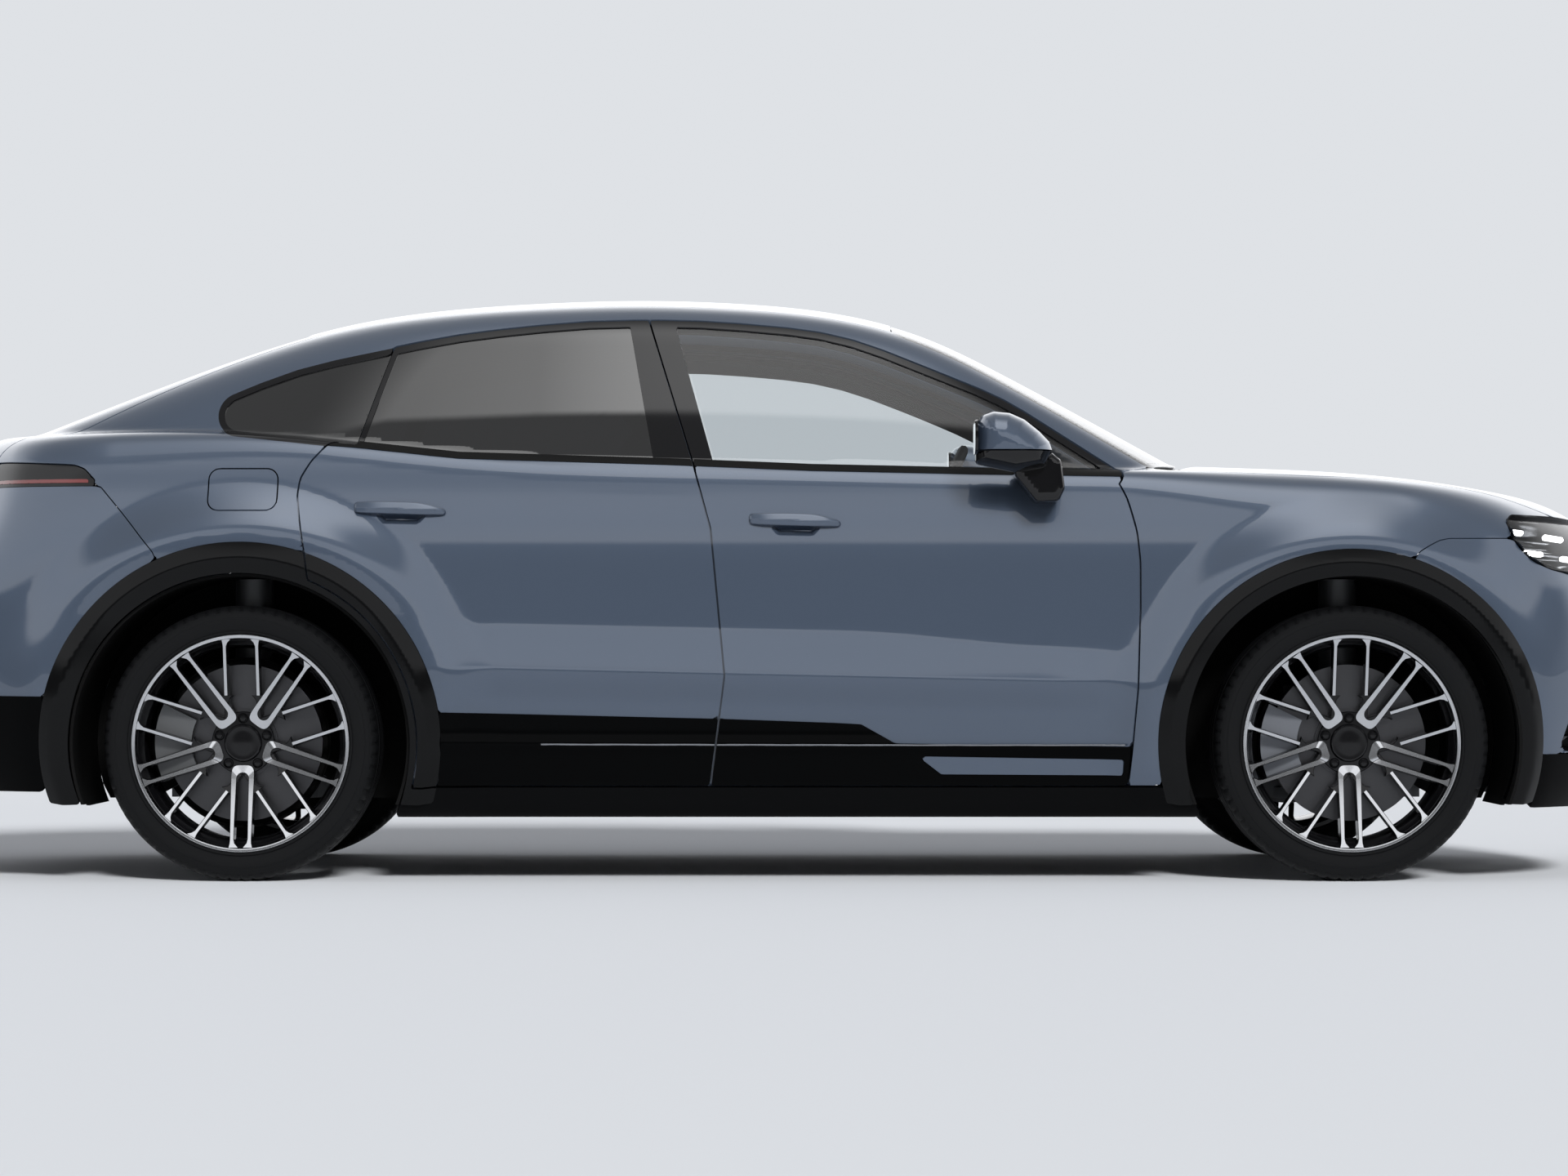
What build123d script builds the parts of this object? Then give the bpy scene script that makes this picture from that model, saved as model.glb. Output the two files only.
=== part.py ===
from build123d import *
import os
from math import cos, pi, sin

# Coupe sport utility vehicle, full size. Millimetres, +X forward, +Y to the vehicle's left, +Z up.
# The origin is on the ground, midway between the two ends and on the centre plane.

# Driving dimensions
LENGTH = 4985.0
ROOF_TOP = 1640.0
WHEELBASE = 3023.0
REAR_OVERHANG = 1056.0
REAR_AXLE_X = REAR_OVERHANG - LENGTH / 2
FRONT_AXLE_X = REAR_AXLE_X + WHEELBASE
TYRE_RADIUS = 376.0
TYRE_BORE = 279.0
WHEEL_Y = 832.0
AXLE_Z = TYRE_RADIUS
SILL_BOTTOM = 190.0
PANEL_GAP = 6.5

# Wheel arches
ARCH_RADIUS = 462.0
FLARE_LIP_RADIUS = {"front": 530.0, "rear": 548.0}
FLARE_ROOT_RADIUS = {"front": 566.0, "rear": 604.0}
FLARE_ROOT_Y = 922.0
FLARE_LIP_Y = 988.0
FLARE_DEEP_Y = 840.0
LINER_WALL = 8.0
LINER_INNER_Y = 480.0
LINER_LAP = 15.0
LINER_CLEAR = 1.0
DOOR_ARCH_RADIUS = 480.0

# Panels
SKIN_THICK = 20.0
RABBET_DEPTH = 30.0
OPENING_INSET = 20.0
DOOR_INSET = 42.0
DOOR_THICK = 78.0
DOOR_INNER_TOP = 1080.0
SIDE_WALL = 80.0
TOP_WALL = 50.0
FENDER_TOP_WALL = 25.0
ROOF_PANEL_THICK = 30.0
HOOD_THICK = 45.0
TAILGATE_WALL = 60.0
BUMPER_WALL = 40.0
GLASS_THICK = 5.0
GLASS_INSET = 3.0
DOOR_BOTTOM = 262.0
STOP_CLEAR = 0.3
STOP_RADIUS = 7.0
STOP_INSET = 12.0

# Steering axis
KINGPIN_Y = 772.0

# Floor and structure
SILL_TOP = 390.0
FLOOR_Z = (330.0, 350.0)
BATTERY_BOTTOM = 192.0
BATTERY_X = (-940.0, 1000.0)
BATTERY_Y = 700.0
BOOT_FLOOR_Z = (640.0, 660.0)
BOOT_FRONT_X = -985.0
FIREWALL_X = (1040.0, 1062.0)
RAIL_Y = (360.0, 470.0)
RAIL_HIGH = 640.0
FRONT_BEAM_X = (2250.0, 2300.0)
BEAM_HALF_Y = 560.0

# Plan outlines of the lower body. Columns: height, rear end, front end, half widths at the rear corner,
# the middle and the front corner.
LOWER_LEVELS = [
    (190, -2330, 2380, 880, 915, 880),
    (300, -2430, 2455, 930, 945, 930),
    (565, -2490, 2490, 965, 962, 955),
    (850, -2455, 2440, 950, 948, 945),
    (1130, -2300, 2290, 880, 900, 880),
    (1275, -2240, 2180, 850, 870, 850),
]
LOWER_RADII = [500, 300, 500, 6000, 500, 300, 400]

# Plan outlines of the greenhouse. Columns: height, then x and half width of the nose, the windscreen pillar,
# the middle, the rear quarter, the tail corner and the tail.
CABIN_LEVELS = [
    (1060, (1560, 300), (1250, 800), (-100, 915), (-1500, 868), (-2280, 700), (-2420, 300)),
    (1350, (1200, 280), (900, 684), (-150, 792), (-1350, 742), (-2000, 560), (-2150, 250)),
    (1520, (900, 250), (560, 600), (-200, 692), (-1200, 640), (-1700, 480), (-1800, 200)),
    (1690, (600, 200), (300, 500), (-300, 570), (-1000, 530), (-1400, 400), (-1500, 150)),
]
CABIN_RADII = [150, 250, 4000, 1200, 250, 150]

# Silhouettes on the centre plane as corners (x, z) with the radius that rounds each inner corner.
ROOF_LINE = [(1300, 1084), (453, 1543), (-30, ROOF_TOP), (-633, ROOF_TOP), (-1323, 1536.5),
             (-1669, 1422.4), (-2330, 1158)]
ROOF_LINE_RADII = [900, 2900, 3900, 3000, 2500]
ROOF_CROWN = 0.15
SHOULDER_LINE = [(2700, 780), (2400, 975), (2070, 1083), (1620, 1140), (1100, 1156), (0, 1180), (-900, 1215),
                 (-1427, 1266), (-2500, 1205)]
SHOULDER_LINE_RADII = [500, 900, 1200, 3000, 5000, 3000, 3000]
SHOULDER_CROWN = 0.055
CROWN_STATIONS = (1050, 525, 0, -525, -1050)

# Side view outlines (x, z)
WINDOW_TOP = [(950, 1107), (639, 1310), (186, 1495), (-190, 1529), (-500, 1529), (-854, 1490), (-1303, 1396),
              (-1641, 1253)]
WINDOW_BOTTOM = [(-800, 1160), (100, 1127)]
WINDOW_RADII = [700, 900, 2400, 2400, 2200, 1100, 50, 3000, 3000]
WINDOW_SILL_X = 950.0
FRAME_MARGIN = 20.0
FRONT_DOOR_EDGE = [(976, DOOR_BOTTOM), (988, 378), (1001, 525), (1010, 737), (1010, 872), (1001, 955), (976, 1045),
                   (939, 1112)]
REAR_DOOR_EDGE = [(-1119, 1190), (-1200, 1199), (-1249, 1145), (-1277, 1099), (-1283, 1054), (-1277, 1009),
                  (-1258, 900), (-1245, 809), (-1245, DOOR_BOTTOM)]
# The shut line between the doors. Columns: x, z, extra gap that the window frames need to swing clear.
DOOR_SPLIT = [(-156, 0, 0), (-156, 262, 0), (-124, 737, 0), (-205, 1140, 4), (-337, 1560, 7)]
GLASS_SPLIT_FRONT = [(-128, 1050), (-278, 1600)]
GLASS_SPLIT_REAR = [(-297, 1050), (-398, 1600)]
QUARTER_BAR_FRONT = [(-1128, 1140), (-1008, 1500)]
QUARTER_BAR_REAR = [(-1172, 1140), (-1052, 1500)]
FLAP = (-1527, -1342, 1012, 1124)
FLAP_CORNER = 22.0
FLAP_POCKET = 55.0

# Plan outlines on the right-hand side (x, y)
SCREEN_PLAN = [(1172, 0), (1150, -420), (1060, -735), (345, -560), (352, 0)]
ROOF_PLAN = [(352, 0), (345, -560), (-1262 + PANEL_GAP, -520), (-1262 + PANEL_GAP, 0)]
TAILGATE_PLAN = [(-1262, 0), (-1262, -522), (-1700, -600), (-2150, -690), (-2600, -720), (-2600, 0)]
BACKLIGHT_PLAN = [(-1330, 0), (-1330, -470), (-1700, -540), (-2120, -600), (-2120, 0)]
COWL_PLAN = [(1172, 0), (1150, -420), (1060, -735), (1110, -815), (1206, -380), (1219, 0)]
HOOD_PLAN = [(1228, 0), (1215, -380), (1128, -800), (1500, -800), (1950, -748), (2200, -640), (2330, -380),
             (2350, 0)]
COWL_THICK = 30.0
TAILGATE_BOTTOM = 800.0
# Side view outlines (x, z) of the bumpers and the headlamp
FRONT_BUMPER_LINE = [(1748, 0), (1748, 905), (1831, 932), (2048, 934), (2024, 995), (2700, 1010), (2700, 0)]
REAR_BUMPER_LINE = [(-2700, 1079), (-1829, 1079), (-1664, 885), (-1700, 500), (-1700, 0), (-2700, 0)]
HEADLAMP_LINE = [(2048, 934), (2024, 995), (2700, 1010), (2700, 840), (2150, 852), (2095, 875), (2070, 900)]
HEADLAMP_INNER_Y = 450.0
INTAKE_HALF_Y = 600.0
INTAKE_TAPER = 16.0
INTAKE_LOW = 320.0
INTAKE_SLOT = 24.0
INTAKE_PITCH = 36.0
INTAKE_SLOTS = 5
INTAKE_DEPTH = 24.0
INTAKE_BACK_X = 2100.0
# Rubber stops. Columns: x, z, depth of the ledge that carries the stop.
STOPS = [
    (-156 + PANEL_GAP / 2 + STOP_INSET, 300, RABBET_DEPTH),
    (-1245 + STOP_INSET, 830, RABBET_DEPTH),
    (FLAP[0] + STOP_INSET + 4, 1068, FLAP_POCKET),
]
GATE_STOP_HALF_Y = 60.0
HOOD_STOP_X = (2256.0, 2290.0)
HOOD_STOP_HALF_Y = 30.0
LAMP_BAND = (1072.0, 1140.0)
LAMP_THICK = 25.0


def closed_face(plane, points, radii):
    """A face on a plane from corner points, each rounded by its own radius."""
    return plane * make_face(FilletPolyline(*points, radius=radii, close=True))


def mirrored_ring(half, radii):
    """Corner points and radii of an outline that is symmetric about the centre plane."""
    points = [(x, -w) for x, w in half] + [(x, w) for x, w in reversed(half)]
    return points, list(radii) + list(radii)[::-1]


def lower_section(z, x_rear, x_front, w_rear, w_mid, w_front):
    half = [
        (x_front, 330),
        (x_front - 150, 745),
        (x_front - 410, w_front),
        (100, w_mid),
        (x_rear + 400, w_rear),
        (x_rear + 130, 745),
        (x_rear, 330),
    ]
    return closed_face(Plane.XY.offset(z), *mirrored_ring(half, LOWER_RADII))


def cabin_section(z, *half):
    return closed_face(Plane.XY.offset(z), *mirrored_ring(half, CABIN_RADII))


def crowned_envelope(line, radii, crown, low):
    """All that lies under a silhouette which drops towards the sides."""
    sections = []
    for y in CROWN_STATIONS:
        drop = crown * y * y / 1000
        points = [(x, z - drop) for x, z in line]
        top = FilletPolyline(*points, radius=radii)
        base = low - drop
        rest = Polyline(points[-1], (points[-1][0], base), (points[0][0], base), points[0])
        face = make_face(Curve() + [*top.edges(), *rest.edges()])
        sections.append(Plane.XZ.offset(-y) * face)
    return loft(sections)


def across(face_points, y_from, y_to, radii=None):
    """A prism along Y from a side view outline."""
    if radii is None:
        wire = Polyline(*face_points, close=True)
    else:
        wire = FilletPolyline(*face_points, radius=radii, close=True)
    face = Plane.XZ.offset(-y_to) * make_face(wire)
    return extrude(face, y_to - y_from)


def block(x0, x1, y0, y1, z0, z1):
    """A box between two corners."""
    return Pos((x0 + x1) / 2, (y0 + y1) / 2, (z0 + z1) / 2) * Box(x1 - x0, y1 - y0, z1 - z0)


def barrel(x, z, radius, y_from, y_to):
    """A cylinder along Y."""
    return Plane.XZ.offset(-y_to) * Pos(x, z, 0) * Cylinder(
        radius, y_to - y_from, align=(Align.CENTER, Align.CENTER, Align.MIN))


def flare(which, x):
    """The raised lip of one right-hand wheel arch."""
    root = FLARE_ROOT_RADIUS[which]
    cone = Solid.make_cone(root, FLARE_LIP_RADIUS[which], FLARE_LIP_Y - FLARE_ROOT_Y,
                           Plane((x, -FLARE_ROOT_Y, AXLE_Z), x_dir=(1, 0, 0), z_dir=(0, -1, 0)))
    cone = cone + barrel(x, AXLE_Z, root, -FLARE_ROOT_Y, -FLARE_DEEP_Y)
    return cone & block(x - 700, x + 700, -1200, 0, SILL_BOTTOM + 20, 1200)


def both(shape):
    """A right-hand piece and its mirror image, as one node of two solids."""
    return Compound(children=[*shape.solids(), *mirror(shape, about=Plane.XZ).solids()])


def save(name, shape):
    export_step(shape if isinstance(shape, Compound) else Compound(children=shape.solids()),
                "parts/" + name + ".step")


def outer_form():
    """The whole body's outer form as one solid, with no wheel openings."""
    lower = loft([lower_section(*row) for row in LOWER_LEVELS])
    lower = lower & crowned_envelope(SHOULDER_LINE, SHOULDER_LINE_RADII, SHOULDER_CROWN, 0)
    cabin = loft([cabin_section(*row) for row in CABIN_LEVELS])
    cabin = cabin & crowned_envelope(ROOF_LINE, ROOF_LINE_RADII, ROOF_CROWN, 700)
    body = lower + cabin
    for which, x in (("rear", REAR_AXLE_X), ("front", FRONT_AXLE_X)):
        lip = flare(which, x)
        body = body + lip + mirror(lip, about=Plane.XZ)
    return body


def window_outline(margin):
    """The whole side window band, grown outwards by a margin."""
    wire = FilletPolyline(*WINDOW_TOP, *WINDOW_BOTTOM, radius=[0.1] + WINDOW_RADII, close=True)
    return offset(make_face(wire), margin) if margin else make_face(wire)


def region(points):
    return make_face(Polyline(*points, close=True))


def side_prism(face):
    """A side view face drawn through the right-hand half of the body."""
    return extrude(Plane.XZ * face, 1300)


def plan_prism(points, low, high=1900.0, margin=0.0):
    """A plan outline of the right-hand half drawn upwards. The margin grows it, but not past the centre plane."""
    face = make_face(Polyline(*points, close=True))
    if margin:
        face = offset(face, margin) & Pos(0, -1000) * Rectangle(6000, 2000)
    return extrude(Plane.XY.offset(low) * face, high - low)


def skin(piece, depth, inset=0.0):
    """The layer of a right-hand piece that lies between two depths, measured across the body."""
    outer = Pos(0, inset, 0) * piece if inset else piece
    return outer - Pos(0, depth, 0) * piece


def line_side(rows, x_far, margin):
    """The side view area ahead of or behind a shut line, up to x_far."""
    points = [(x + margin, z) for x, z in rows]
    return region([(points[0][0], -100), *points, (points[-1][0], 2000), (x_far, 2000), (x_far, -100)])


def door_outlines():
    """The side view outlines of the right-hand front and rear doors, and of both with the line between."""
    arch = Pos(REAR_AXLE_X, AXLE_Z) * Circle(DOOR_ARCH_RADIUS)
    bar = [(x + 14, z) for x, z in QUARTER_BAR_REAR]
    upper = window_outline(FRAME_MARGIN) & line_side(bar, 2000, 0)
    zone = region(FRONT_DOOR_EDGE + REAR_DOOR_EDGE) + upper - arch
    half = PANEL_GAP / 2
    ahead = [(x + half + extra / 2, z) for x, z, extra in DOOR_SPLIT]
    behind = [(x - half - extra / 2, z) for x, z, extra in DOOR_SPLIT]
    return zone & line_side(ahead, 2000, 0), zone & line_side(behind, -2500, 0), zone


def make_door(chunk, outline, windows):
    """One door: its skin, its body below the window and its window opening."""
    outer = skin(chunk & side_prism(outline), SKIN_THICK)
    clear = DOOR_INSET - OPENING_INSET
    low = offset(outline, -DOOR_INSET) & height_band(SILL_TOP + clear, DOOR_INNER_TOP)
    inner = skin(chunk & side_prism(low), DOOR_THICK, SKIN_THICK / 2)
    return outer + inner - side_prism(windows)


def height_band(low, high):
    """The side view area between two heights."""
    return region([(-3000, low), (3000, low), (3000, high), (-3000, high)])


def make_glass(chunk, outline):
    return skin(chunk & side_prism(outline), GLASS_INSET + GLASS_THICK, GLASS_INSET)


def ring(outer, inner, y_from, y_to, x, z):
    return barrel(x, z, outer, y_from, y_to) - barrel(x, z, inner, y_from - 1, y_to + 1)


def build_body():
    body = outer_form()
    right = body & block(-3000, 3000, -1200, 0, 0, 2000)
    front_door, rear_door, doors = door_outlines()
    band = window_outline(0)
    glass_front = band & line_side(GLASS_SPLIT_FRONT, 2000, 0)
    glass_rear = band & line_side(GLASS_SPLIT_REAR, -2500, 0) & line_side(QUARTER_BAR_FRONT, 2000, 0)
    glass_quarter = band & line_side(QUARTER_BAR_REAR, -2500, 0)

    # Doors and side glass
    chunk = right & block(-1400, 1100, -1200, 0, 200, 1650)
    export = {}
    for name, outline, window in (("front", front_door, glass_front), ("rear", rear_door, glass_rear)):
        export["door_" + name] = make_door(chunk, outline, window)
        export["door_glass_" + name] = make_glass(chunk, window)
    save_pair(export)

    # Front fender
    fender_zone = region([*[(x + PANEL_GAP, z) for x, z in FRONT_DOOR_EDGE], (1060, 1160), (3000, 1300),
                          (3000, 0), (976 + PANEL_GAP, 0)])
    arches = side_prism(Pos(REAR_AXLE_X, AXLE_Z) * Circle(ARCH_RADIUS))
    arches += side_prism(Pos(FRONT_AXLE_X, AXLE_Z) * Circle(ARCH_RADIUS))
    nose = right & block(900, 3000, -1200, 0, SILL_BOTTOM, 1400)
    hood_hole = plan_prism(HOOD_PLAN, 700, margin=PANEL_GAP)
    front_line = region(FRONT_BUMPER_LINE)
    fender = (nose & side_prism(fender_zone)) - Pos(0, RABBET_DEPTH, -FENDER_TOP_WALL) * nose
    fender = fender - hood_hole - arches - side_prism(front_line) - plan_prism(SCREEN_PLAN, 700)
    fender = fender - plan_prism(COWL_PLAN, 700) - side_prism(offset(front_door, PANEL_GAP))
    fender = biggest(fender)
    save("front_fenders", both(fender))

    # Body side: sill, pillars, roof rail and rear wing
    rear_line = region(REAR_BUMPER_LINE)
    lamp_band = region([(-1844, LAMP_BAND[0]), (-1876, 1125), (-2100, LAMP_BAND[1]), (-2700, LAMP_BAND[1]),
                        (-2700, LAMP_BAND[0])])
    top = (plan_prism(SCREEN_PLAN, 1100) + plan_prism(ROOF_PLAN, 1100) + plan_prism(COWL_PLAN, 900)
           + plan_prism(TAILGATE_PLAN, TAILGATE_BOTTOM - PANEL_GAP, margin=PANEL_GAP))
    side = right & block(-3000, 1062, -1200, 0, SILL_BOTTOM, 1700)
    cavity = Pos(0, SIDE_WALL, -TOP_WALL) * right & block(-3000, 1200, -1200, 200, 0, 1700)
    side = side - cavity - top - arches
    above_sill = height_band(SILL_TOP, 2000)
    opening_front = offset(front_door, -OPENING_INSET) & above_sill
    opening_rear = offset(rear_door, -OPENING_INSET) & above_sill
    side = side - side_prism(opening_front + opening_rear + glass_quarter)
    rabbet = chunk & side_prism(offset(doors, PANEL_GAP))
    side = side - skin(rabbet, RABBET_DEPTH) - fender
    side = side - side_prism(rear_line + lamp_band)
    flap_face = flap_outline(0)
    flap_piece = right & side_prism(flap_face)
    side = side - skin(right & side_prism(flap_outline(PANEL_GAP)), FLAP_POCKET)
    side = side + stops(right)
    save("side_frames", both(side))
    save("charge_flap", skin(flap_piece, SKIN_THICK))
    save("quarter_glass", both(make_glass(right, glass_quarter)))

    # Front bumper and headlamps
    lamp_zone = side_prism(region(HEADLAMP_LINE)) & block(1900, 2700, -1200, -HEADLAMP_INNER_Y, 0, 1400)
    front_shell = nose - Pos(-BUMPER_WALL, RABBET_DEPTH, -FENDER_TOP_WALL) * nose
    front_shell = front_shell & block(1700, 3000, -1200, 0, SILL_BOTTOM, 1400)
    bumper = (front_shell & side_prism(front_line)) - hood_hole - arches
    lamps = bumper & lamp_zone
    bumper = bumper - lamp_zone - (intake_bands() - Pos(-INTAKE_DEPTH, 0, 0) * nose)
    save("front_bumper", whole(biggest(bumper)))
    save("headlamps", both(biggest(lamps)))

    # Hood, screen and roof
    hood_piece = nose & plan_prism(HOOD_PLAN, 700)
    save("hood", whole(hood_piece - Pos(0, 0, -HOOD_THICK) * nose))
    upper = right & block(-1300, 1300, -1200, 0, 1000, 1700)
    screen_piece = upper & plan_prism(SCREEN_PLAN, 1000)
    save("windshield", whole(screen_piece - Pos(0, 0, -GLASS_THICK - 1) * upper))
    roof_piece = upper & plan_prism(ROOF_PLAN, 1000)
    save("roof_panel", whole(roof_piece - Pos(0, 0, -ROOF_PANEL_THICK) * upper))

    # Tail: bumper, lamps, tailgate
    tail = right & block(-3000, -1000, -1200, 0, SILL_BOTTOM, 1700)
    tail_shell = (tail - Pos(BUMPER_WALL, RABBET_DEPTH, 0) * tail) & block(-3000, -1600, -1200, 0, 0, 1700)
    gate_hole = plan_prism(TAILGATE_PLAN, TAILGATE_BOTTOM - PANEL_GAP, margin=PANEL_GAP)
    rear_bumper = biggest((tail_shell & side_prism(rear_line - lamp_band)) - gate_hole - arches)
    stop = block(-2600, -2300, -GATE_STOP_HALF_Y, 0, TAILGATE_BOTTOM - 30, TAILGATE_BOTTOM - STOP_CLEAR)
    save("rear_bumper", whole(rear_bumper + (stop & tail_shell)))
    save("tail_lamps", both(biggest((tail_shell & side_prism(lamp_band)) - gate_hole)))
    gate = tail & plan_prism(TAILGATE_PLAN, TAILGATE_BOTTOM)
    gate = gate - Pos(TAILGATE_WALL, 0, -TOP_WALL) * tail
    window = plan_prism(BACKLIGHT_PLAN, 1100)
    bar = (gate - Pos(LAMP_THICK, 0, 0) * tail) & block(-3000, -2100, -1200, 0, *LAMP_BAND)
    save("tailgate", whole(gate - window - bar))
    save("tailgate_lamp", whole(bar))
    glass = tail & window
    save("tailgate_glass", whole(Pos(0, 0, -GLASS_INSET) * glass - Pos(0, 0, -GLASS_INSET - GLASS_THICK) * tail))
    cowl = (right & block(1000, 1300, -1200, 0, 900, 1300)) & plan_prism(COWL_PLAN, 900)
    save("cowl_panel", whole(cowl - Pos(0, 0, -COWL_THICK) * right))
    build_structure(right, tail, nose)
    build_mirrors(right)


def intake_bands():
    """The slots of the front air intake, between its slats."""
    bands = []
    for i in range(INTAKE_SLOTS):
        low = INTAKE_LOW + i * INTAKE_PITCH
        half = INTAKE_HALF_Y - i * INTAKE_TAPER
        bands.append(block(INTAKE_BACK_X, LENGTH, -half, 0, low, low + INTAKE_SLOT))
    return Compound(children=bands)


def stops(right):
    """Rubber stops of the doors and the flap, just behind the closed skins."""
    pads = []
    for x, z, depth in STOPS:
        disc = side_prism(Pos(x, z) * Circle(STOP_RADIUS))
        pads += skin(right & disc, depth + 2, SKIN_THICK + STOP_CLEAR).solids()
    return pads


def save_pair(pieces):
    """Saves right-hand pieces and their mirror images as nodes of their own."""
    for name, shape in pieces.items():
        save(name + "_right", shape)
        save(name + "_left", mirror(shape, about=Plane.XZ))


def flap_outline(margin):
    x0, x1, z0, z1 = FLAP
    face = RectangleRounded(x1 - x0 + 2 * margin, z1 - z0 + 2 * margin, FLAP_CORNER + margin)
    return Pos((x0 + x1) / 2, (z0 + z1) / 2) * face


def whole(shape):
    """A right-hand piece joined to its mirror image across the centre plane."""
    return shape + mirror(shape, about=Plane.XZ)


def biggest(shape):
    return max(shape.solids(), key=lambda solid: solid.volume)


# Wheels and brakes, measured outwards along the axle from the wheel's centre plane
TYRE_PROFILE = [(120.6, TYRE_BORE + 0.3), (126.6, 297.6), (136, 314), (135, 338), (116, 365), (80, TYRE_RADIUS)]
RIM_WIDTH = 256.0
RIM_WALL = 12.0
RIM_LIP_RADIUS = 297.0
RIM_LIP_THICK = 7.0
HUB_FACE_Y = 54.0
HUB_PAD_THICK = 30.0
HUB_RADIUS = 82.0
# Spokes come in pairs. Columns: angle of the first pair, sideways offset of each spoke, width, inner radius.
SPOKE_PAIRS = [(270.0, 24.0, 13.0, 40.0), (90.0, 43.0, 11.0, 60.0)]
PAIRS_ROUND = 5
SPOKE_DEPTH = 32.0
SPOKE_RIM_INSET = 3.0
SPOKE_HUB_DROP = 1.5
PAD_REACH = (58.0, 86.0)
PAD_HALF = 30.5
PAD_PROUD = 4.0
PAD_ROOT = 10.0
PAD_ANGLE = 270.0
BOLT_ANGLE = 90.0
CAP_PROUD = 6.0
BOLT_CIRCLE_RADIUS = 68.0
BOLT_POCKET_RADIUS = 12.0
BOLT_POCKET_DEPTH = 10.0
CAP_RADIUS = 46.0
ROTOR_RADIUS = 214.0
ROTOR_THICK = 32.0
ROTOR_Y = -2.0
ROTOR_HAT_RADIUS = 92.0
ROTOR_INNER_RADIUS = 134.0
SPINDLE_RADIUS = 30.0
SPINDLE_CLEAR = 0.05
BRAKE_CLEAR = 6.0
CALIPER_INNER = 142.0
CALIPER_OUTER = 242.0
CALIPER_FACE_Y = 46.0
CALIPER_BACK_Y = -62.0
CALIPER_ANGLE = 26.0
BRACKET_LAP = 14.0
BRACKET_HALF_Z = 34.0
KNUCKLE_RADIUS = 78.0


def turns(first):
    """One turn about the axle for each like piece of the wheel, from the angle of the first."""
    return [Rot(0, -(first + 360 / PAIRS_ROUND * i), 0) for i in range(PAIRS_ROUND)]


def spun(profile):
    """A ring about the Y axis from a profile of (y, radius)."""
    return revolve(Plane.XY * make_face(Polyline(*[(r, y) for y, r in profile], close=True)), Axis.Y)


def wheel_pieces():
    """The tyre, rim and brake rotor of a left-hand wheel about its own centre."""
    half = RIM_WIDTH / 2
    rim_radius = TYRE_BORE
    outline = TYRE_PROFILE + [(-y, r) for y, r in reversed(TYRE_PROFILE)]
    tyre = spun(outline)
    lip_in = half - RIM_LIP_THICK
    barrel_wall = spun([(half, rim_radius - RIM_WALL), (half, RIM_LIP_RADIUS), (lip_in + 6, RIM_LIP_RADIUS),
                        (lip_in, rim_radius), (-lip_in, rim_radius), (-lip_in - 6, RIM_LIP_RADIUS),
                        (-half, RIM_LIP_RADIUS), (-half, rim_radius - RIM_WALL)])
    hub = spun([(HUB_FACE_Y, 0), (HUB_FACE_Y, HUB_RADIUS), (HUB_FACE_Y - HUB_PAD_THICK, HUB_RADIUS - 6),
                (HUB_FACE_Y - HUB_PAD_THICK, 0)])
    reach = rim_radius - RIM_WALL / 2
    rim = barrel_wall + hub
    for first, aside, width, inner in SPOKE_PAIRS:
        side = [(inner, HUB_FACE_Y - SPOKE_HUB_DROP), (reach, half - SPOKE_RIM_INSET),
                (reach, half - SPOKE_RIM_INSET - SPOKE_DEPTH), (inner, HUB_FACE_Y - HUB_PAD_THICK + SPOKE_HUB_DROP)]
        blade = extrude(Plane.XY * region(side), width / 2, both=True)
        for turn in turns(first):
            rim = rim + [turn * Pos(0, 0, aside) * blade, turn * Pos(0, 0, -aside) * blade]
    rim = rim + [turn * block(*PAD_REACH, HUB_FACE_Y - PAD_ROOT, HUB_FACE_Y + PAD_PROUD, -PAD_HALF, PAD_HALF)
                 for turn in turns(PAD_ANGLE)]
    pocket = Pos(BOLT_CIRCLE_RADIUS, 0, 0) * barrel(0, 0, BOLT_POCKET_RADIUS, HUB_FACE_Y - BOLT_POCKET_DEPTH,
                                                    HUB_FACE_Y + HUB_PAD_THICK)
    rim = rim - [turn * pocket for turn in turns(BOLT_ANGLE)]
    rim = rim + barrel(0, 0, CAP_RADIUS, HUB_FACE_Y - PAD_ROOT, HUB_FACE_Y + CAP_PROUD)
    hat_top = HUB_FACE_Y - HUB_PAD_THICK
    low = ROTOR_Y - ROTOR_THICK / 2
    high = ROTOR_Y + ROTOR_THICK / 2
    bore = SPINDLE_RADIUS + SPINDLE_CLEAR
    rotor = spun([(hat_top, bore), (hat_top, ROTOR_HAT_RADIUS), (high, ROTOR_HAT_RADIUS), (high, ROTOR_RADIUS),
                  (low, ROTOR_RADIUS), (low, bore)])
    return tyre, rim, rotor


def both_ways(face):
    """A side view face drawn across the wheel's centre plane, both ways."""
    return extrude(Plane.XZ * face, CALIPER_OUTER, both=True)


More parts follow.
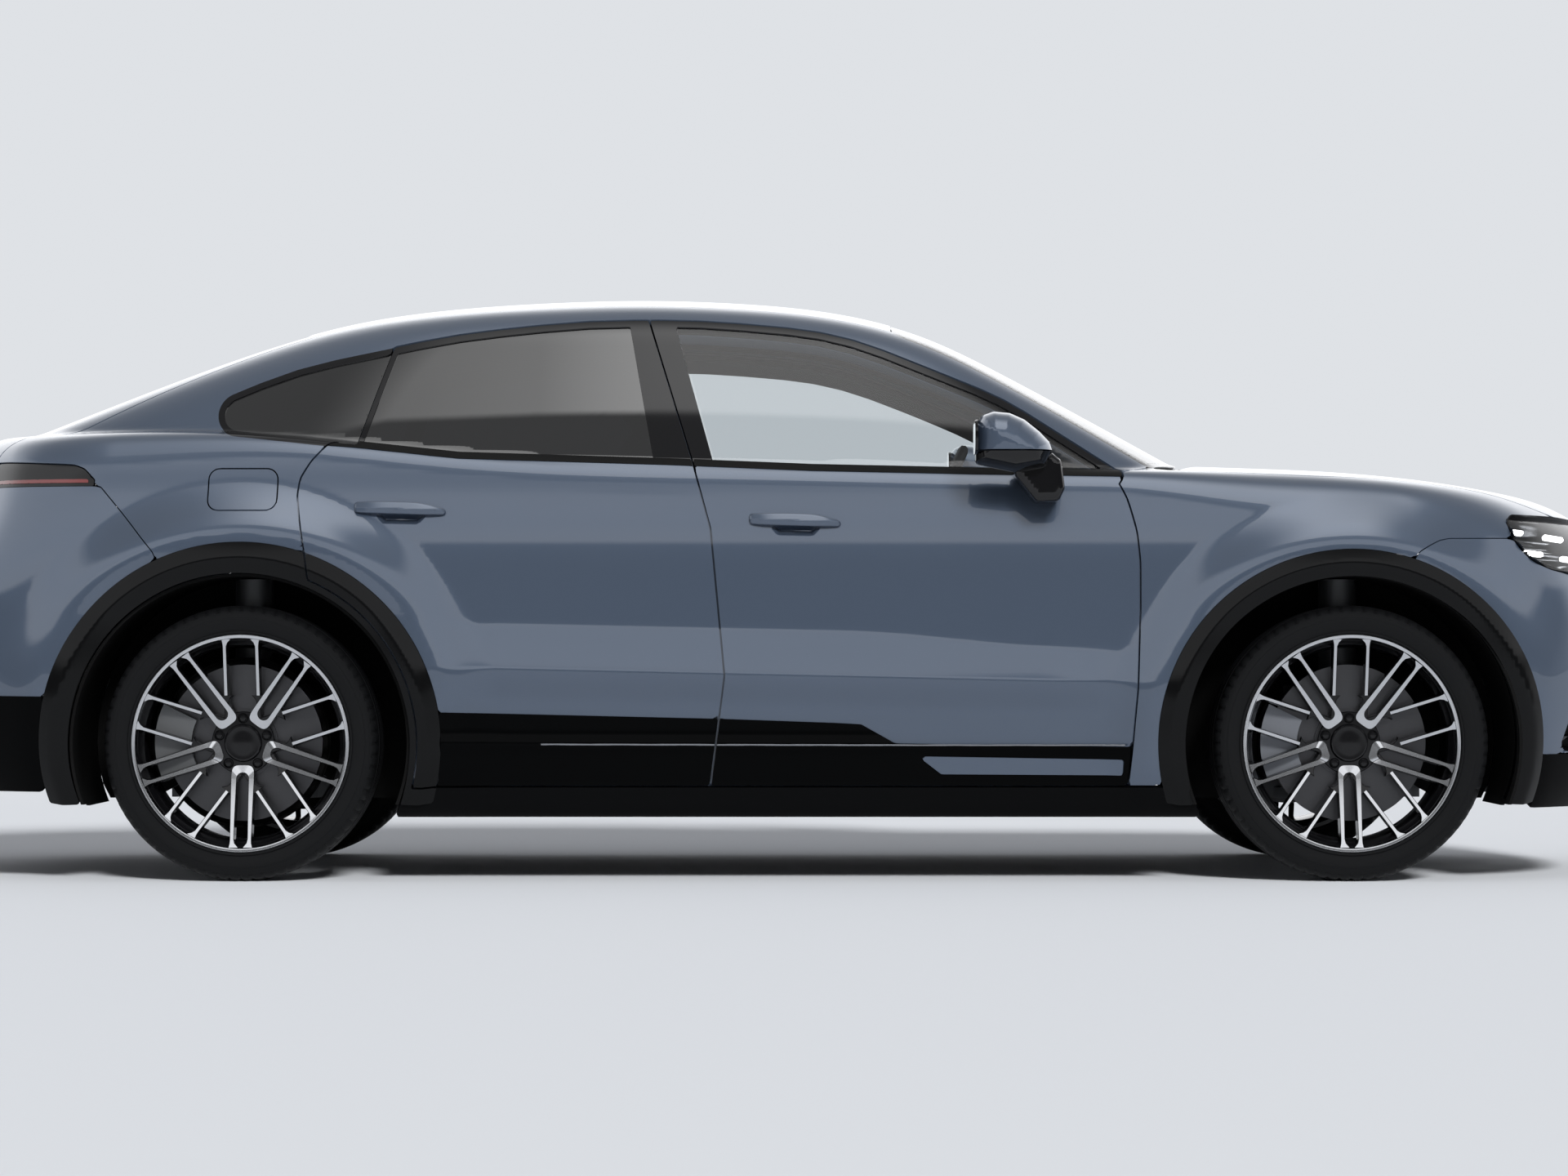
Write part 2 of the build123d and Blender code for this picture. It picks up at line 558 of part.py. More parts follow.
def upright():
    """A left-hand knuckle about the wheel's centre, with its spindle and brake caliper."""
    low = ROTOR_Y - ROTOR_THICK / 2
    high = ROTOR_Y + ROTOR_THICK / 2
    spindle = spun([(HUB_FACE_Y - HUB_PAD_THICK - 1, 0), (HUB_FACE_Y - HUB_PAD_THICK - 1, SPINDLE_RADIUS),
                    (low - BRAKE_CLEAR, SPINDLE_RADIUS), (low - BRAKE_CLEAR, KNUCKLE_RADIUS),
                    (KNUCKLE_BACK_Y - WHEEL_Y, KNUCKLE_RADIUS - 14), (KNUCKLE_BACK_Y - WHEEL_Y, 0)])
    ring_block = spun([(CALIPER_FACE_Y, CALIPER_INNER), (CALIPER_FACE_Y, CALIPER_OUTER),
                       (CALIPER_BACK_Y, CALIPER_OUTER), (CALIPER_BACK_Y, CALIPER_INNER)])
    slot = spun([(high + BRAKE_CLEAR, 0), (high + BRAKE_CLEAR, ROTOR_RADIUS + BRAKE_CLEAR),
                 (low - BRAKE_CLEAR, ROTOR_RADIUS + BRAKE_CLEAR), (low - BRAKE_CLEAR, 0)])
    reach = 2 * CALIPER_OUTER
    angle = CALIPER_ANGLE * pi / 180
    corner = (-reach * cos(angle), reach * sin(angle))
    wedge = both_ways(region([(0, 0), corner, (corner[0], -corner[1])]))
    caliper = (ring_block & wedge) - slot
    bracket = block(-CALIPER_INNER - BRACKET_LAP, -KNUCKLE_RADIUS + BRACKET_LAP, CALIPER_BACK_Y, low - BRAKE_CLEAR,
                    -BRACKET_HALF_Z, BRACKET_HALF_Z)
    return spindle + caliper + bracket


KNUCKLE_BACK_Y = 742.0
KNUCKLE_POST_HALF = 24.0
KNUCKLE_ARM_HALF = 132.0
JOINT_CLEAR = 0.3


def place(shape, x, side):
    """Puts a left-hand wheel piece at an axle, or its mirror image when the side is -1."""
    moved = Pos(x, WHEEL_Y, AXLE_Z) * shape
    return moved if side > 0 else mirror(moved, about=Plane.XZ)


def build_wheels():
    tyre, rim, rotor = wheel_pieces()
    for name, x in (("front", FRONT_AXLE_X), ("rear", REAR_AXLE_X)):
        for hand, side in (("right", -1), ("left", 1)):
            save("tyre_" + name + "_" + hand, place(tyre, x, side))
            save("rim_" + name + "_" + hand, place(rim, x, side))
            save("brake_rotor_" + name + "_" + hand, place(rotor, x, side))


LOWER_ARM_THICK = 30.0
UPPER_ARM_THICK = 22.0
SUBFRAME_HALF_X = 250.0
SUBFRAME_Y = 430.0
SUBFRAME_Z = (216.0, 290.0)
STRUT_Y = 590.0
STRUT_RADIUS = 52.0


def liner_radius():
    return ARCH_RADIUS - LINER_WALL


def build_axles():
    """Subframes with arms, uprights and springs. The front uprights steer and are nodes of their own."""
    post_y = KINGPIN_Y - WHEEL_Y
    post = block(-KNUCKLE_POST_HALF, KNUCKLE_POST_HALF, post_y - KNUCKLE_POST_HALF, post_y + KNUCKLE_POST_HALF,
                 -KNUCKLE_ARM_HALF, KNUCKLE_ARM_HALF)
    left = upright() + post
    for hand, side in (("right", -1), ("left", 1)):
        save("knuckle_front_" + hand, place(left, FRONT_AXLE_X, side))
    for name, x in (("front", FRONT_AXLE_X), ("rear", REAR_AXLE_X)):
        arm_end = KINGPIN_Y + KNUCKLE_POST_HALF
        clear = JOINT_CLEAR if name == "front" else 0.0
        z_low = AXLE_Z - KNUCKLE_ARM_HALF - clear
        z_high = AXLE_Z + KNUCKLE_ARM_HALF + clear
        frame = block(x - SUBFRAME_HALF_X, x + SUBFRAME_HALF_X, 0, SUBFRAME_Y, *SUBFRAME_Z)
        frame -= block(x - SUBFRAME_HALF_X + 60, x + SUBFRAME_HALF_X - 60, -1, SUBFRAME_Y - 80, 0, 400)
        arm = region([(x - 170, SUBFRAME_Y - 20), (x + 170, SUBFRAME_Y - 20), (x + 30, arm_end), (x - 30, arm_end)])
        lower = extrude(Plane.XY.offset(z_low - LOWER_ARM_THICK) * arm, LOWER_ARM_THICK)
        upper = extrude(Plane.XY.offset(z_high) * arm, UPPER_ARM_THICK)
        tower = block(x - 170, x + 170, SUBFRAME_Y - 70, SUBFRAME_Y - 20, SUBFRAME_Z[0], z_high + UPPER_ARM_THICK)
        seat = AXLE_Z + (liner_radius() ** 2 - STRUT_RADIUS ** 2) ** 0.5 - JOINT_CLEAR
        strut = Pos(x, STRUT_Y, z_low - 2) * Cylinder(STRUT_RADIUS, seat - z_low + 2,
                                                       align=(Align.CENTER, Align.CENTER, Align.MIN))
        half = frame + lower + upper + tower + strut
        if name == "rear":
            half += place(left, x, 1)
        axle = half + mirror(half, about=Plane.XZ)
        save(name + "_axle", axle)
        motor = Pos(x, 0, AXLE_Z + 10) * Rot(90, 0, 0) * Cylinder(118, 2 * (SUBFRAME_Y - 90))
        motor += block(x - 60, x + 200, -90, 150, SUBFRAME_Z[1] + 0.0, AXLE_Z + 170)
        save("drive_unit_" + name, motor - axle)


def rail_low():
    return AXLE_Z + KNUCKLE_ARM_HALF + JOINT_CLEAR + UPPER_ARM_THICK


def build_structure(right, tail, nose):
    """Floor, battery, rails, firewall and wheel arch liners."""
    inside = Pos(0, SIDE_WALL, -TOP_WALL) * right
    floor = inside & block(BOOT_FRONT_X - 20, FIREWALL_X[1], -1200, 0, *FLOOR_Z)
    floor += block(BOOT_FRONT_X - 20, BOOT_FRONT_X, -LINER_INNER_Y, 0, FLOOR_Z[0], BOOT_FLOOR_Z[1])
    boot = (Pos(BUMPER_WALL, RABBET_DEPTH, 0) * tail) & block(-3000, BOOT_FRONT_X, -LINER_INNER_Y, 0, *BOOT_FLOOR_Z)
    floor += boot
    floor += block(-2250, BOOT_FRONT_X - 20, -RAIL_Y[1], -RAIL_Y[0], rail_low(), BOOT_FLOOR_Z[0])
    floor -= barrel(REAR_AXLE_X, AXLE_Z, ARCH_RADIUS + LINER_CLEAR, -1200, -LINER_INNER_Y + LINER_CLEAR)
    save("floor_pan", whole(floor))
    save("battery_pack", block(*BATTERY_X, -BATTERY_Y, BATTERY_Y, BATTERY_BOTTOM, FLOOR_Z[0]))
    firewall = inside & block(*FIREWALL_X, -1200, 0, FLOOR_Z[1], 1085)
    rails = block(FIREWALL_X[0], FRONT_BEAM_X[0] + 10, -RAIL_Y[1], -RAIL_Y[0], rail_low(), RAIL_HIGH)
    beam = block(*FRONT_BEAM_X, -BEAM_HALF_Y, 0, rail_low() - 60, RAIL_HIGH)
    tub = block(FIREWALL_X[0] + 5, FRONT_BEAM_X[0] + 20, -RAIL_Y[1] + 8, 0, RAIL_HIGH - 5, RAIL_HIGH + 15)
    stop = block(*HOOD_STOP_X, -HOOD_STOP_HALF_Y, 0, RAIL_HIGH - 20, 1300)
    stop = stop & (Pos(0, 0, -HOOD_THICK - STOP_CLEAR) * nose)
    save("front_structure", whole(firewall + rails + beam + tub + stop))
    liners = []
    trimmed = Pos(0, LINER_LAP, 0) * right
    for x in (FRONT_AXLE_X, REAR_AXLE_X):
        shell = ring(ARCH_RADIUS, liner_radius(), -1100, -LINER_INNER_Y, x, AXLE_Z)
        wall = barrel(x, AXLE_Z, ARCH_RADIUS - 1, -LINER_INNER_Y - LINER_WALL, -LINER_INNER_Y)
        wall = wall & block(x - 600, x + 600, -1200, 0, rail_low() + 20, 1200)
        liner = (shell + wall) & trimmed & block(x - 600, x + 600, -1200, 0, SILL_BOTTOM + 15, 1200)
        liners += liner.solids() + mirror(liner, about=Plane.XZ).solids()
    save("arch_liners", Compound(children=liners))


def build_mirrors(right):
    """The door mirrors, each a foot on the door skin, an arm and a housing."""
    x0, x1, z0, z1 = MIRROR_FOOT
    foot = block(x0, x1, -1010, -860, z0, z1) - right
    foot = biggest(foot)
    housing = block(*MIRROR_X, *MIRROR_Y, *MIRROR_Z)
    housing = fillet(housing.edges().filter_by(Axis.X), MIRROR_ROUND) & across(MIRROR_SIDE, *MIRROR_Y)
    arm = across(MIRROR_ARM, -1075, -960)
    piece = foot + arm + housing
    save("mirror_right", piece)
    save("mirror_left", mirror(piece, about=Plane.XZ))


MIRROR_FOOT = (722.0, 802.0, 1032.0, 1108.0)
MIRROR_X = (550.0, 770.0)
MIRROR_Y = (-1182.0, -985.0)
MIRROR_Z = (1130.0, 1274.0)
MIRROR_ROUND = 38.0
MIRROR_SIDE = [(556, 1150), (560, 1240), (578, 1262), (606, 1274), (650, 1270), (694, 1250), (735, 1215),
               (768, 1180), (768, 1150), (740, 1130), (600, 1130)]
MIRROR_ARM = [(735, 1040), (795, 1040), (800, 1120), (790, 1160), (700, 1160), (705, 1110)]

# Cabin furniture: side view outlines (x, z) and widths
SEAT_SIDE = [(320, 350.3), (340, 620), (300, 690), (-90, 665), (-320, 1260), (-345, 1440), (-430, 1450), (-450, 1250),
             (-230, 560), (-200, 350.3)]
SEAT_Y = (150.0, 680.0)
CUSHION_BACK_X = REAR_AXLE_X + ARCH_RADIUS + 5
REAR_CUSHION = [(-430, 350.3), (-400, 600), (-450, 660), (-820, 640), (CUSHION_BACK_X, 640), (CUSHION_BACK_X, 350.3)]
REAR_BACK = [(-830, 660.3), (-985, 660.3), (-1180, 1180), (-1060, 1200)]
REAR_SEAT_Y = 690.0
DASH_SIDE = [(1039.9, 700), (1039.9, 1075), (790, 1065), (700, 985), (745, 870), (900, 700)]
DASH_Y = 700.0
STEER_CENTRE = (500.0, 370.0, 1062.0)
STEER_TILT = 25.0
STEER_RADIUS = 182.0
STEER_GRIP = 15.0
STEER_COLUMN = 26.0
STEER_REACH = 150.0


def build_interior():
    """Seats, dashboard and steering wheel."""
    seat = extrude(Plane.XZ.offset(-SEAT_Y[1]) * region(SEAT_SIDE), SEAT_Y[1] - SEAT_Y[0])
    save("front_seats", both(mirror(seat, about=Plane.XZ)))
    bench = extrude(Plane.XZ.offset(-REAR_SEAT_Y) * region(REAR_CUSHION), 2 * REAR_SEAT_Y)
    back = extrude(Plane.XZ.offset(-REAR_SEAT_Y) * region(REAR_BACK), 2 * REAR_SEAT_Y)
    save("rear_seat", bench + back)
    column_line = Plane(STEER_CENTRE, x_dir=(0, 1, 0), z_dir=Vector(1, 0, 0).rotate(Axis.Y, STEER_TILT))
    boss = column_line.offset(STEER_REACH + JOINT_CLEAR) * Cylinder(
        2 * STEER_COLUMN, 160, align=(Align.CENTER, Align.CENTER, Align.MIN))
    dash = extrude(Plane.XZ.offset(-DASH_Y) * region(DASH_SIDE), 2 * DASH_Y)
    save("dashboard", dash + (boss & block(0, FIREWALL_X[0], 0, 800, 0, 2000)))
    grip = Plane.XZ * Pos(STEER_RADIUS, 0) * RegularPolygon(STEER_GRIP, 8)
    wheel = column_line * revolve(grip, Axis.Z)
    wheel += column_line * Cylinder(STEER_COLUMN, STEER_REACH, align=(Align.CENTER, Align.CENTER, Align.MIN))
    for angle in (0, 180, 270):
        wheel += column_line * Rot(0, 0, angle) * Pos(STEER_RADIUS / 2, 0, 6) * Box(STEER_RADIUS, 34, 12)
    wheel += column_line * Cylinder(56, 30)
    save("steering_wheel", wheel)


os.makedirs("parts", exist_ok=True)
build_wheels()
build_axles()
build_body()
build_interior()
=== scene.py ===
import math

import bmesh
import bpy
import numpy as np
from mathutils import Matrix, Vector


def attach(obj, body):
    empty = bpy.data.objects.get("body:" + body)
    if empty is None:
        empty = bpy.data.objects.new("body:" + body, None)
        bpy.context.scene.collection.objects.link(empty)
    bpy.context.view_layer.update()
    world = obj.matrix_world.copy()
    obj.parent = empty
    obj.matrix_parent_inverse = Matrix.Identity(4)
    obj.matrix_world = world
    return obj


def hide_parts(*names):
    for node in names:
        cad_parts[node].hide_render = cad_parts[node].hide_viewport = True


# Coupe sport utility vehicle. Metres, +X forward, +Y to the vehicle's left, +Z up.
# The outer skin is one smooth implicit form, cut into its panels along the shut lines.

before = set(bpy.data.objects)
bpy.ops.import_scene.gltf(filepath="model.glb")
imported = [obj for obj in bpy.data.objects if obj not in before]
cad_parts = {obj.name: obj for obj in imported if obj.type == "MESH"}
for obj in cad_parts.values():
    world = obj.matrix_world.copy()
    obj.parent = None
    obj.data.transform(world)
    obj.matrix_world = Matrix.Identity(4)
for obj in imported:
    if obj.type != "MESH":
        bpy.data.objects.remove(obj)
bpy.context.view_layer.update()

REAR_X = -1.4365
FRONT_X = 1.5865
AXLE_Z = 0.376
WHEEL_Y = 0.832


# Number helpers
def smooth_max(a, b, k):
    """The greater of two values, blended where they differ by less than k."""
    h = np.maximum(k - np.abs(a - b), 0) / k
    return np.maximum(a, b) + h * h * k / 4


def smooth_min(a, b, k):
    return -smooth_max(-a, -b, k)


def ease(x, a, b):
    """Rises smoothly from 0 at a to 1 at b."""
    t = np.clip((x - a) / (b - a), 0, 1)
    return t * t * (3 - 2 * t)


def ramp(t, k):
    """t where it is positive and 0 elsewhere, blended over k."""
    return smooth_max(t, 0 * t, k)


def spline(rows):
    """A smooth curve through points (x, y), as a function of x that runs on straight past its ends."""
    rows = sorted(rows)
    x = np.array([r[0] for r in rows], float)
    y = np.array([r[1] for r in rows], float)
    n = len(x)
    h = np.diff(x)
    a = np.zeros((n, n))
    b = np.zeros(n)
    a[0, 0] = a[-1, -1] = 1
    for i in range(1, n - 1):
        a[i, i - 1] = h[i - 1]
        a[i, i] = 2 * (h[i - 1] + h[i])
        a[i, i + 1] = h[i]
        b[i] = 6 * ((y[i + 1] - y[i]) / h[i] - (y[i] - y[i - 1]) / h[i - 1])
    m = np.linalg.solve(a, b)

    def value(t):
        t = np.asarray(t, float)
        c = np.clip(t, x[0], x[-1])
        i = np.clip(np.searchsorted(x, c) - 1, 0, n - 2)
        d0 = c - x[i]
        d1 = x[i + 1] - c
        out = (m[i] * d1 ** 3 + m[i + 1] * d0 ** 3) / (6 * h[i])
        out += (y[i] / h[i] - m[i] * h[i] / 6) * d1 + (y[i + 1] / h[i] - m[i + 1] * h[i] / 6) * d0
        slope0 = (y[1] - y[0]) / h[0] - h[0] * m[1] / 6
        slope1 = (y[-1] - y[-2]) / h[-1] + h[-1] * m[-2] / 6
        return out + np.minimum(t - x[0], 0) * slope0 + np.maximum(t - x[-1], 0) * slope1

    return value


# The form of the body
SIDE = spline([(0.12, 0.895), (0.19, 0.922), (0.263, 0.938), (0.35, 0.946), (0.45, 0.951), (0.52, 0.956),
               (0.60, 0.956), (0.69, 0.952), (0.78, 0.950), (0.86, 0.948), (0.93, 0.9425), (1.00, 0.930),
               (1.07, 0.911), (1.13, 0.892), (1.20, 0.872), (1.30, 0.842)])
NOSE = spline([(0.15, 2.35), (0.25, 2.42), (0.38, 2.465), (0.52, 2.489), (0.65, 2.4905), (0.80, 2.468),
               (0.92, 2.415), (1.02, 2.33), (1.15, 2.18)])
TAIL = spline([(0.15, 2.30), (0.25, 2.385), (0.38, 2.45), (0.52, 2.485), (0.65, 2.489), (0.76, 2.478),
               (0.90, 2.415), (1.03, 2.342), (1.13, 2.30), (1.20, 2.275), (1.30, 2.235)])
SHOULDER = spline([(2.60, 0.86), (2.42, 0.965), (2.292, 1.022), (2.162, 1.058), (2.006, 1.092),
                   (1.851, 1.117), (1.695, 1.134), (1.54, 1.145), (1.338, 1.153), (1.10, 1.160),
                   (0.6, 1.168), (0, 1.182), (-0.9, 1.216), (-1.427, 1.262), (-1.8, 1.262), (-2.2, 1.232),
                   (-2.5, 1.195)])
ROOF = spline([(1.60, 0.915), (1.40, 1.028), (1.169, 1.156), (0.901, 1.303), (0.66, 1.432), (0.453, 1.530),
               (0.30, 1.578), (0.12, 1.611), (-0.10, 1.630), (-0.33, 1.6375), (-0.60, 1.632), (-0.90, 1.612),
               (-1.20, 1.567), (-1.45, 1.496), (-1.70, 1.406), (-1.95, 1.309), (-2.208, 1.209),
               (-2.45, 1.12)])
GLASS_MID = spline([(0.9, 0.985), (1.06, 0.915), (1.13, 0.885), (1.35, 0.790), (1.52, 0.694), (1.69, 0.575)])
GLASS_FRONT = spline([(1.0, 0.080), (1.06, 0.085), (1.35, 0.103), (1.52, 0.121), (1.69, 0.125)])
GLASS_REAR = spline([(1.0, 0.032), (1.06, 0.034), (1.35, 0.042), (1.52, 0.052), (1.69, 0.057)])
GLASS_CORNER = spline([(1.0, -1.53), (1.06, -1.50), (1.35, -1.35), (1.52, -1.20), (1.69, -1.0)])
CORNER_SLOPE = spline([(1.0, 0.205), (1.06, 0.215), (1.35, 0.28), (1.52, 0.32), (1.69, 0.325)])


def crease(x, z):
    """The door's lower crease: a shoulder that catches light, over a turned-under sill."""
    line = 0.567 - 0.022 * x
    t = z - line
    tall = 0.120 - 0.035 * ease(x, 0.2, 0.8)
    above = 0.021 * ramp(tall - t, 0.012) / tall + 0.003 * np.exp(-np.maximum(t, 0) / 0.020)
    below = 0.024 - 0.022 * ease(-t, 0.0, 0.10)
    reach = ease(x, -0.98, -0.72) * (1 - ease(x, 0.72, 1.16))
    return np.where(t > 0, above, below) * reach


def flare(x, z, axle, root, lip, rise):
    """The bulge round a wheel arch, from a soft root to the lip."""
    r = np.hypot(x - axle, z - AXLE_Z)
    s = ramp((root - r) / (root - lip), 0.1)
    up = smooth_min(s ** 1.6, 1 + 0 * s, 0.45)
    return rise * up * ease(z, 0.10, 0.34)


def side_width(x, z):
    """Half the body's width at a place in side view."""
    rise = 0.040 + 0.02 * ease(z, 0.7, 1.0)
    w = SIDE(z) - 0.0035 * x * x + crease(x, z)
    return w + flare(x, z, FRONT_X, 0.680, 0.566, rise) + flare(x, z, REAR_X, 0.720, 0.602, rise)


# How far the nose and tail bow back towards the sides, and how the shoulders and roof are crowned across
NOSE_BOW, TAIL_BOW = 0.27, 0.235
SHOULDER_CROWN, ROOF_CROWN = 0.055, 0.15
# The slanted planes across the corners: their direction, how far back they start, and where
NOSE_SLANT, NOSE_BACK = (0.628, 0.778), 0.165
TAIL_SLANT, TAIL_BACK = (0.64, 0.768), 0.150
CORNER_Y = 0.745
CORNER_BLEND, END_BLEND = 0.16, 0.12
FLOOR_Z = 0.17


def lower_form(x, y, z):
    """The body without its cabin, negative inside."""
    a = np.abs(y)
    side = a - side_width(x, z)
    nose_x = NOSE(z)
    tail_x = TAIL(z)
    front = x - (nose_x - NOSE_BOW * a * a)
    rear = -x - (tail_x - TAIL_BOW * a * a)
    front_corner = NOSE_SLANT[0] * (x - nose_x + NOSE_BACK) + NOSE_SLANT[1] * (a - CORNER_Y)
    rear_corner = TAIL_SLANT[0] * (-x - tail_x + TAIL_BACK) + TAIL_SLANT[1] * (a - CORNER_Y)
    f = smooth_max(side, smooth_max(front, front_corner, CORNER_BLEND), END_BLEND)
    f = smooth_max(f, smooth_max(rear, rear_corner, CORNER_BLEND), END_BLEND)
    top = z - (SHOULDER(x) - SHOULDER_CROWN * a * a)
    f = smooth_max(f, top * 0.98, 0.055 + 0.07 * ease(x, 0.9, 1.5) + 0.03 * ease(-x, 1.2, 1.8))
    return smooth_max(f, FLOOR_Z - z, 0.04)


def cabin_form(x, y, z):
    """The glass house and roof, negative inside."""
    a = np.abs(y)
    width = GLASS_MID(z) - GLASS_FRONT(z) * ramp(x + 0.13, 0.5) - GLASS_REAR(z) * ramp(-x - 0.13, 0.5)
    width = width - (CORNER_SLOPE(z) - GLASS_REAR(z)) * ramp(GLASS_CORNER(z) - x, 0.35)
    side = (a - width) * 0.93
    top = (z - (ROOF(x) - ROOF_CROWN * a * a)) * 0.95
    under = SHOULDER(x) - 0.11 - SHOULDER_CROWN * a * a - z
    return smooth_max(smooth_max(side, top, 0.085), under, 0.03)


def form(x, y, z):
    """Negative inside the body."""
    return smooth_min(lower_form(x, y, z), cabin_form(x, y, z), 0.012)


def gradient(p):
    e = 0.0006
    x, y, z = p[:, 0], p[:, 1], p[:, 2]
    g = np.stack([form(x + e, y, z) - form(x - e, y, z), form(x, y + e, z) - form(x, y - e, z),
                  form(x, y, z + e) - form(x, y, z - e)], axis=1) / (2 * e)
    return g


def unit(v):
    return v / np.maximum(np.linalg.norm(v, axis=1), 1e-9)[:, None]


def land(p):
    """Points moved onto the body's surface along its gradient."""
    for _ in range(2):
        g = gradient(p)
        f = form(p[:, 0], p[:, 1], p[:, 2])
        p = p - g * (f / np.maximum((g * g).sum(1), 1e-9))[:, None]
    return p


# The rays that find the skin: how many along the middle, round each end and round the section, where the
# ends begin, and the angle under which they are fewer
ALONG, ENDS, ROUND = ((250, 62, 170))
END_X = 1.80
UNDER_ROWS = 24
UNDER_ANGLE = math.radians(-44)


def skin_grid():
    """Vertices and triangles of the right-hand half of the outer skin."""
    mid = np.linspace(-END_X, END_X, ALONG)
    turn = np.linspace(0, math.pi / 2, ENDS + 1)[1:]
    centre_x = np.concatenate([np.full(ENDS, -END_X), mid, np.full(ENDS, END_X)])
    alpha = np.concatenate([-turn[::-1], np.zeros(ALONG), turn])
    low = np.linspace(-math.pi / 2, UNDER_ANGLE, UNDER_ROWS, endpoint=False)
    high = np.linspace(UNDER_ANGLE, math.pi / 2, ROUND)
    phi = np.concatenate([low, high])
    a, f = np.meshgrid(alpha, phi, indexing="ij")
    cx, _ = np.meshgrid(centre_x, phi, indexing="ij")
    d = np.stack([np.sin(a), -np.cos(a) * np.cos(f), np.cos(a) * np.sin(f)], axis=2).reshape(-1, 3)
    start = np.stack([cx.ravel(), np.zeros(cx.size), (0.70 - 0.022 * cx).ravel()], axis=1)
    near = np.full(len(d), 0.05)
    far = np.full(len(d), 1.7)
    for _ in range(26):
        mid_r = (near + far) / 2
        p = start + d * mid_r[:, None]
        out = form(p[:, 0], p[:, 1], p[:, 2]) > 0
        far = np.where(out, mid_r, far)
        near = np.where(out, near, mid_r)
    p = start + d * ((near + far) / 2)[:, None]
    n, m = a.shape
    index = np.arange(n * m).reshape(n, m)
    q = np.stack([index[:-1, :-1].ravel(), index[1:, :-1].ravel(), index[1:, 1:].ravel(),
                  index[:-1, 1:].ravel()], axis=1)
    tris = np.concatenate([q[:, [0, 1, 2]], q[:, [0, 2, 3]]])
    area = np.linalg.norm(np.cross(p[tris[:, 1]] - p[tris[:, 0]], p[tris[:, 2]] - p[tris[:, 0]]), axis=1)
    return p, tris[area > 1e-10]


SKIN, SKIN_TRIS = skin_grid()


# Outlines as signed distances, negative inside
def rounded(points, radii):
    """The points of a closed outline whose corners are rounded, one radius each or one for all."""
    pts = [np.array(p, float) for p in points]
    n = len(pts)
    if not hasattr(radii, "__len__"):
        radii = [radii] * n
    out = []
    for i in range(n):
        p, a, b = pts[i], pts[i - 1], pts[(i + 1) % n]
        u = (a - p) / np.linalg.norm(a - p)
        v = (b - p) / np.linalg.norm(b - p)
        half = math.acos(max(-1, min(1, float(u @ v)))) / 2
        if radii[i] <= 0 or half > 1.56:
            out.append(tuple(p))
            continue
        t = radii[i] / math.tan(half)
        t = min(t, 0.49 * np.linalg.norm(a - p), 0.49 * np.linalg.norm(b - p))
        r = t * math.tan(half)
        centre = p + (u + v) / np.linalg.norm(u + v) * (r / math.sin(half))
        start, end = p + u * t - centre, p + v * t - centre
        a0 = math.atan2(start[1], start[0])
        a1 = math.atan2(end[1], end[0])
        turn = (a1 - a0 + math.pi) % (2 * math.pi) - math.pi
        count = max(2, int(abs(turn) / 0.12) + 1)
        for k in range(count + 1):
            w = a0 + turn * k / count
            out.append((centre[0] + r * math.cos(w), centre[1] + r * math.sin(w)))
    return out


def outline(points, radii=0.0):
    """The signed distance to a closed outline, as a function of two coordinates."""
    pts = np.array(rounded(points, radii) if radii is not None else points, float)
    nxt = np.roll(pts, -1, axis=0)

    def value(u, v):
        u = np.asarray(u, float).ravel()
        v = np.asarray(v, float).ravel()
        best = np.full(u.shape, 1e9)
        inside = np.zeros(u.shape, bool)
        for (ax, ay), (bx, by) in zip(pts, nxt):
            dx, dy = bx - ax, by - ay
            length = dx * dx + dy * dy
            if length < 1e-14:
                continue
            t = np.clip(((u - ax) * dx + (v - ay) * dy) / length, 0, 1)
            best = np.minimum(best, (u - ax - t * dx) ** 2 + (v - ay - t * dy) ** 2)
            if ay != by:
                cross = (ay > v) != (by > v)
                inside ^= cross & (u < ax + (v - ay) / (by - ay) * dx)
        return np.sqrt(best) * np.where(inside, -1, 1)

    return value


def open_line(points):
    """The signed distance to an open line, negative to its left as it is walked."""
    pts = np.array(points, float)

    def value(u, v):
        u = np.asarray(u, float).ravel()
        v = np.asarray(v, float).ravel()
        best = np.full(u.shape, 1e9)
        sign = np.ones(u.shape)
        for i in range(len(pts) - 1):
            a, b = pts[i], pts[i + 1]
            d = b - a
            t = ((u - a[0]) * d[0] + (v - a[1]) * d[1]) / (d @ d)
            lo = -1e9 if i == 0 else 0
            hi = 1e9 if i == len(pts) - 2 else 1
            t = np.clip(t, lo, hi)
            px, py = a[0] + t * d[0], a[1] + t * d[1]
            dist = np.hypot(u - px, v - py)
            side = (u - a[0]) * d[1] - (v - a[1]) * d[0]
            better = dist < best - 1e-12
            best = np.where(better, dist, best)
            sign = np.where(better, np.where(side > 0, 1, -1), sign)
        return best * sign

    return value


def circle(x, radius):
    return lambda u, v: np.hypot(u - x, v - AXLE_Z) - radius


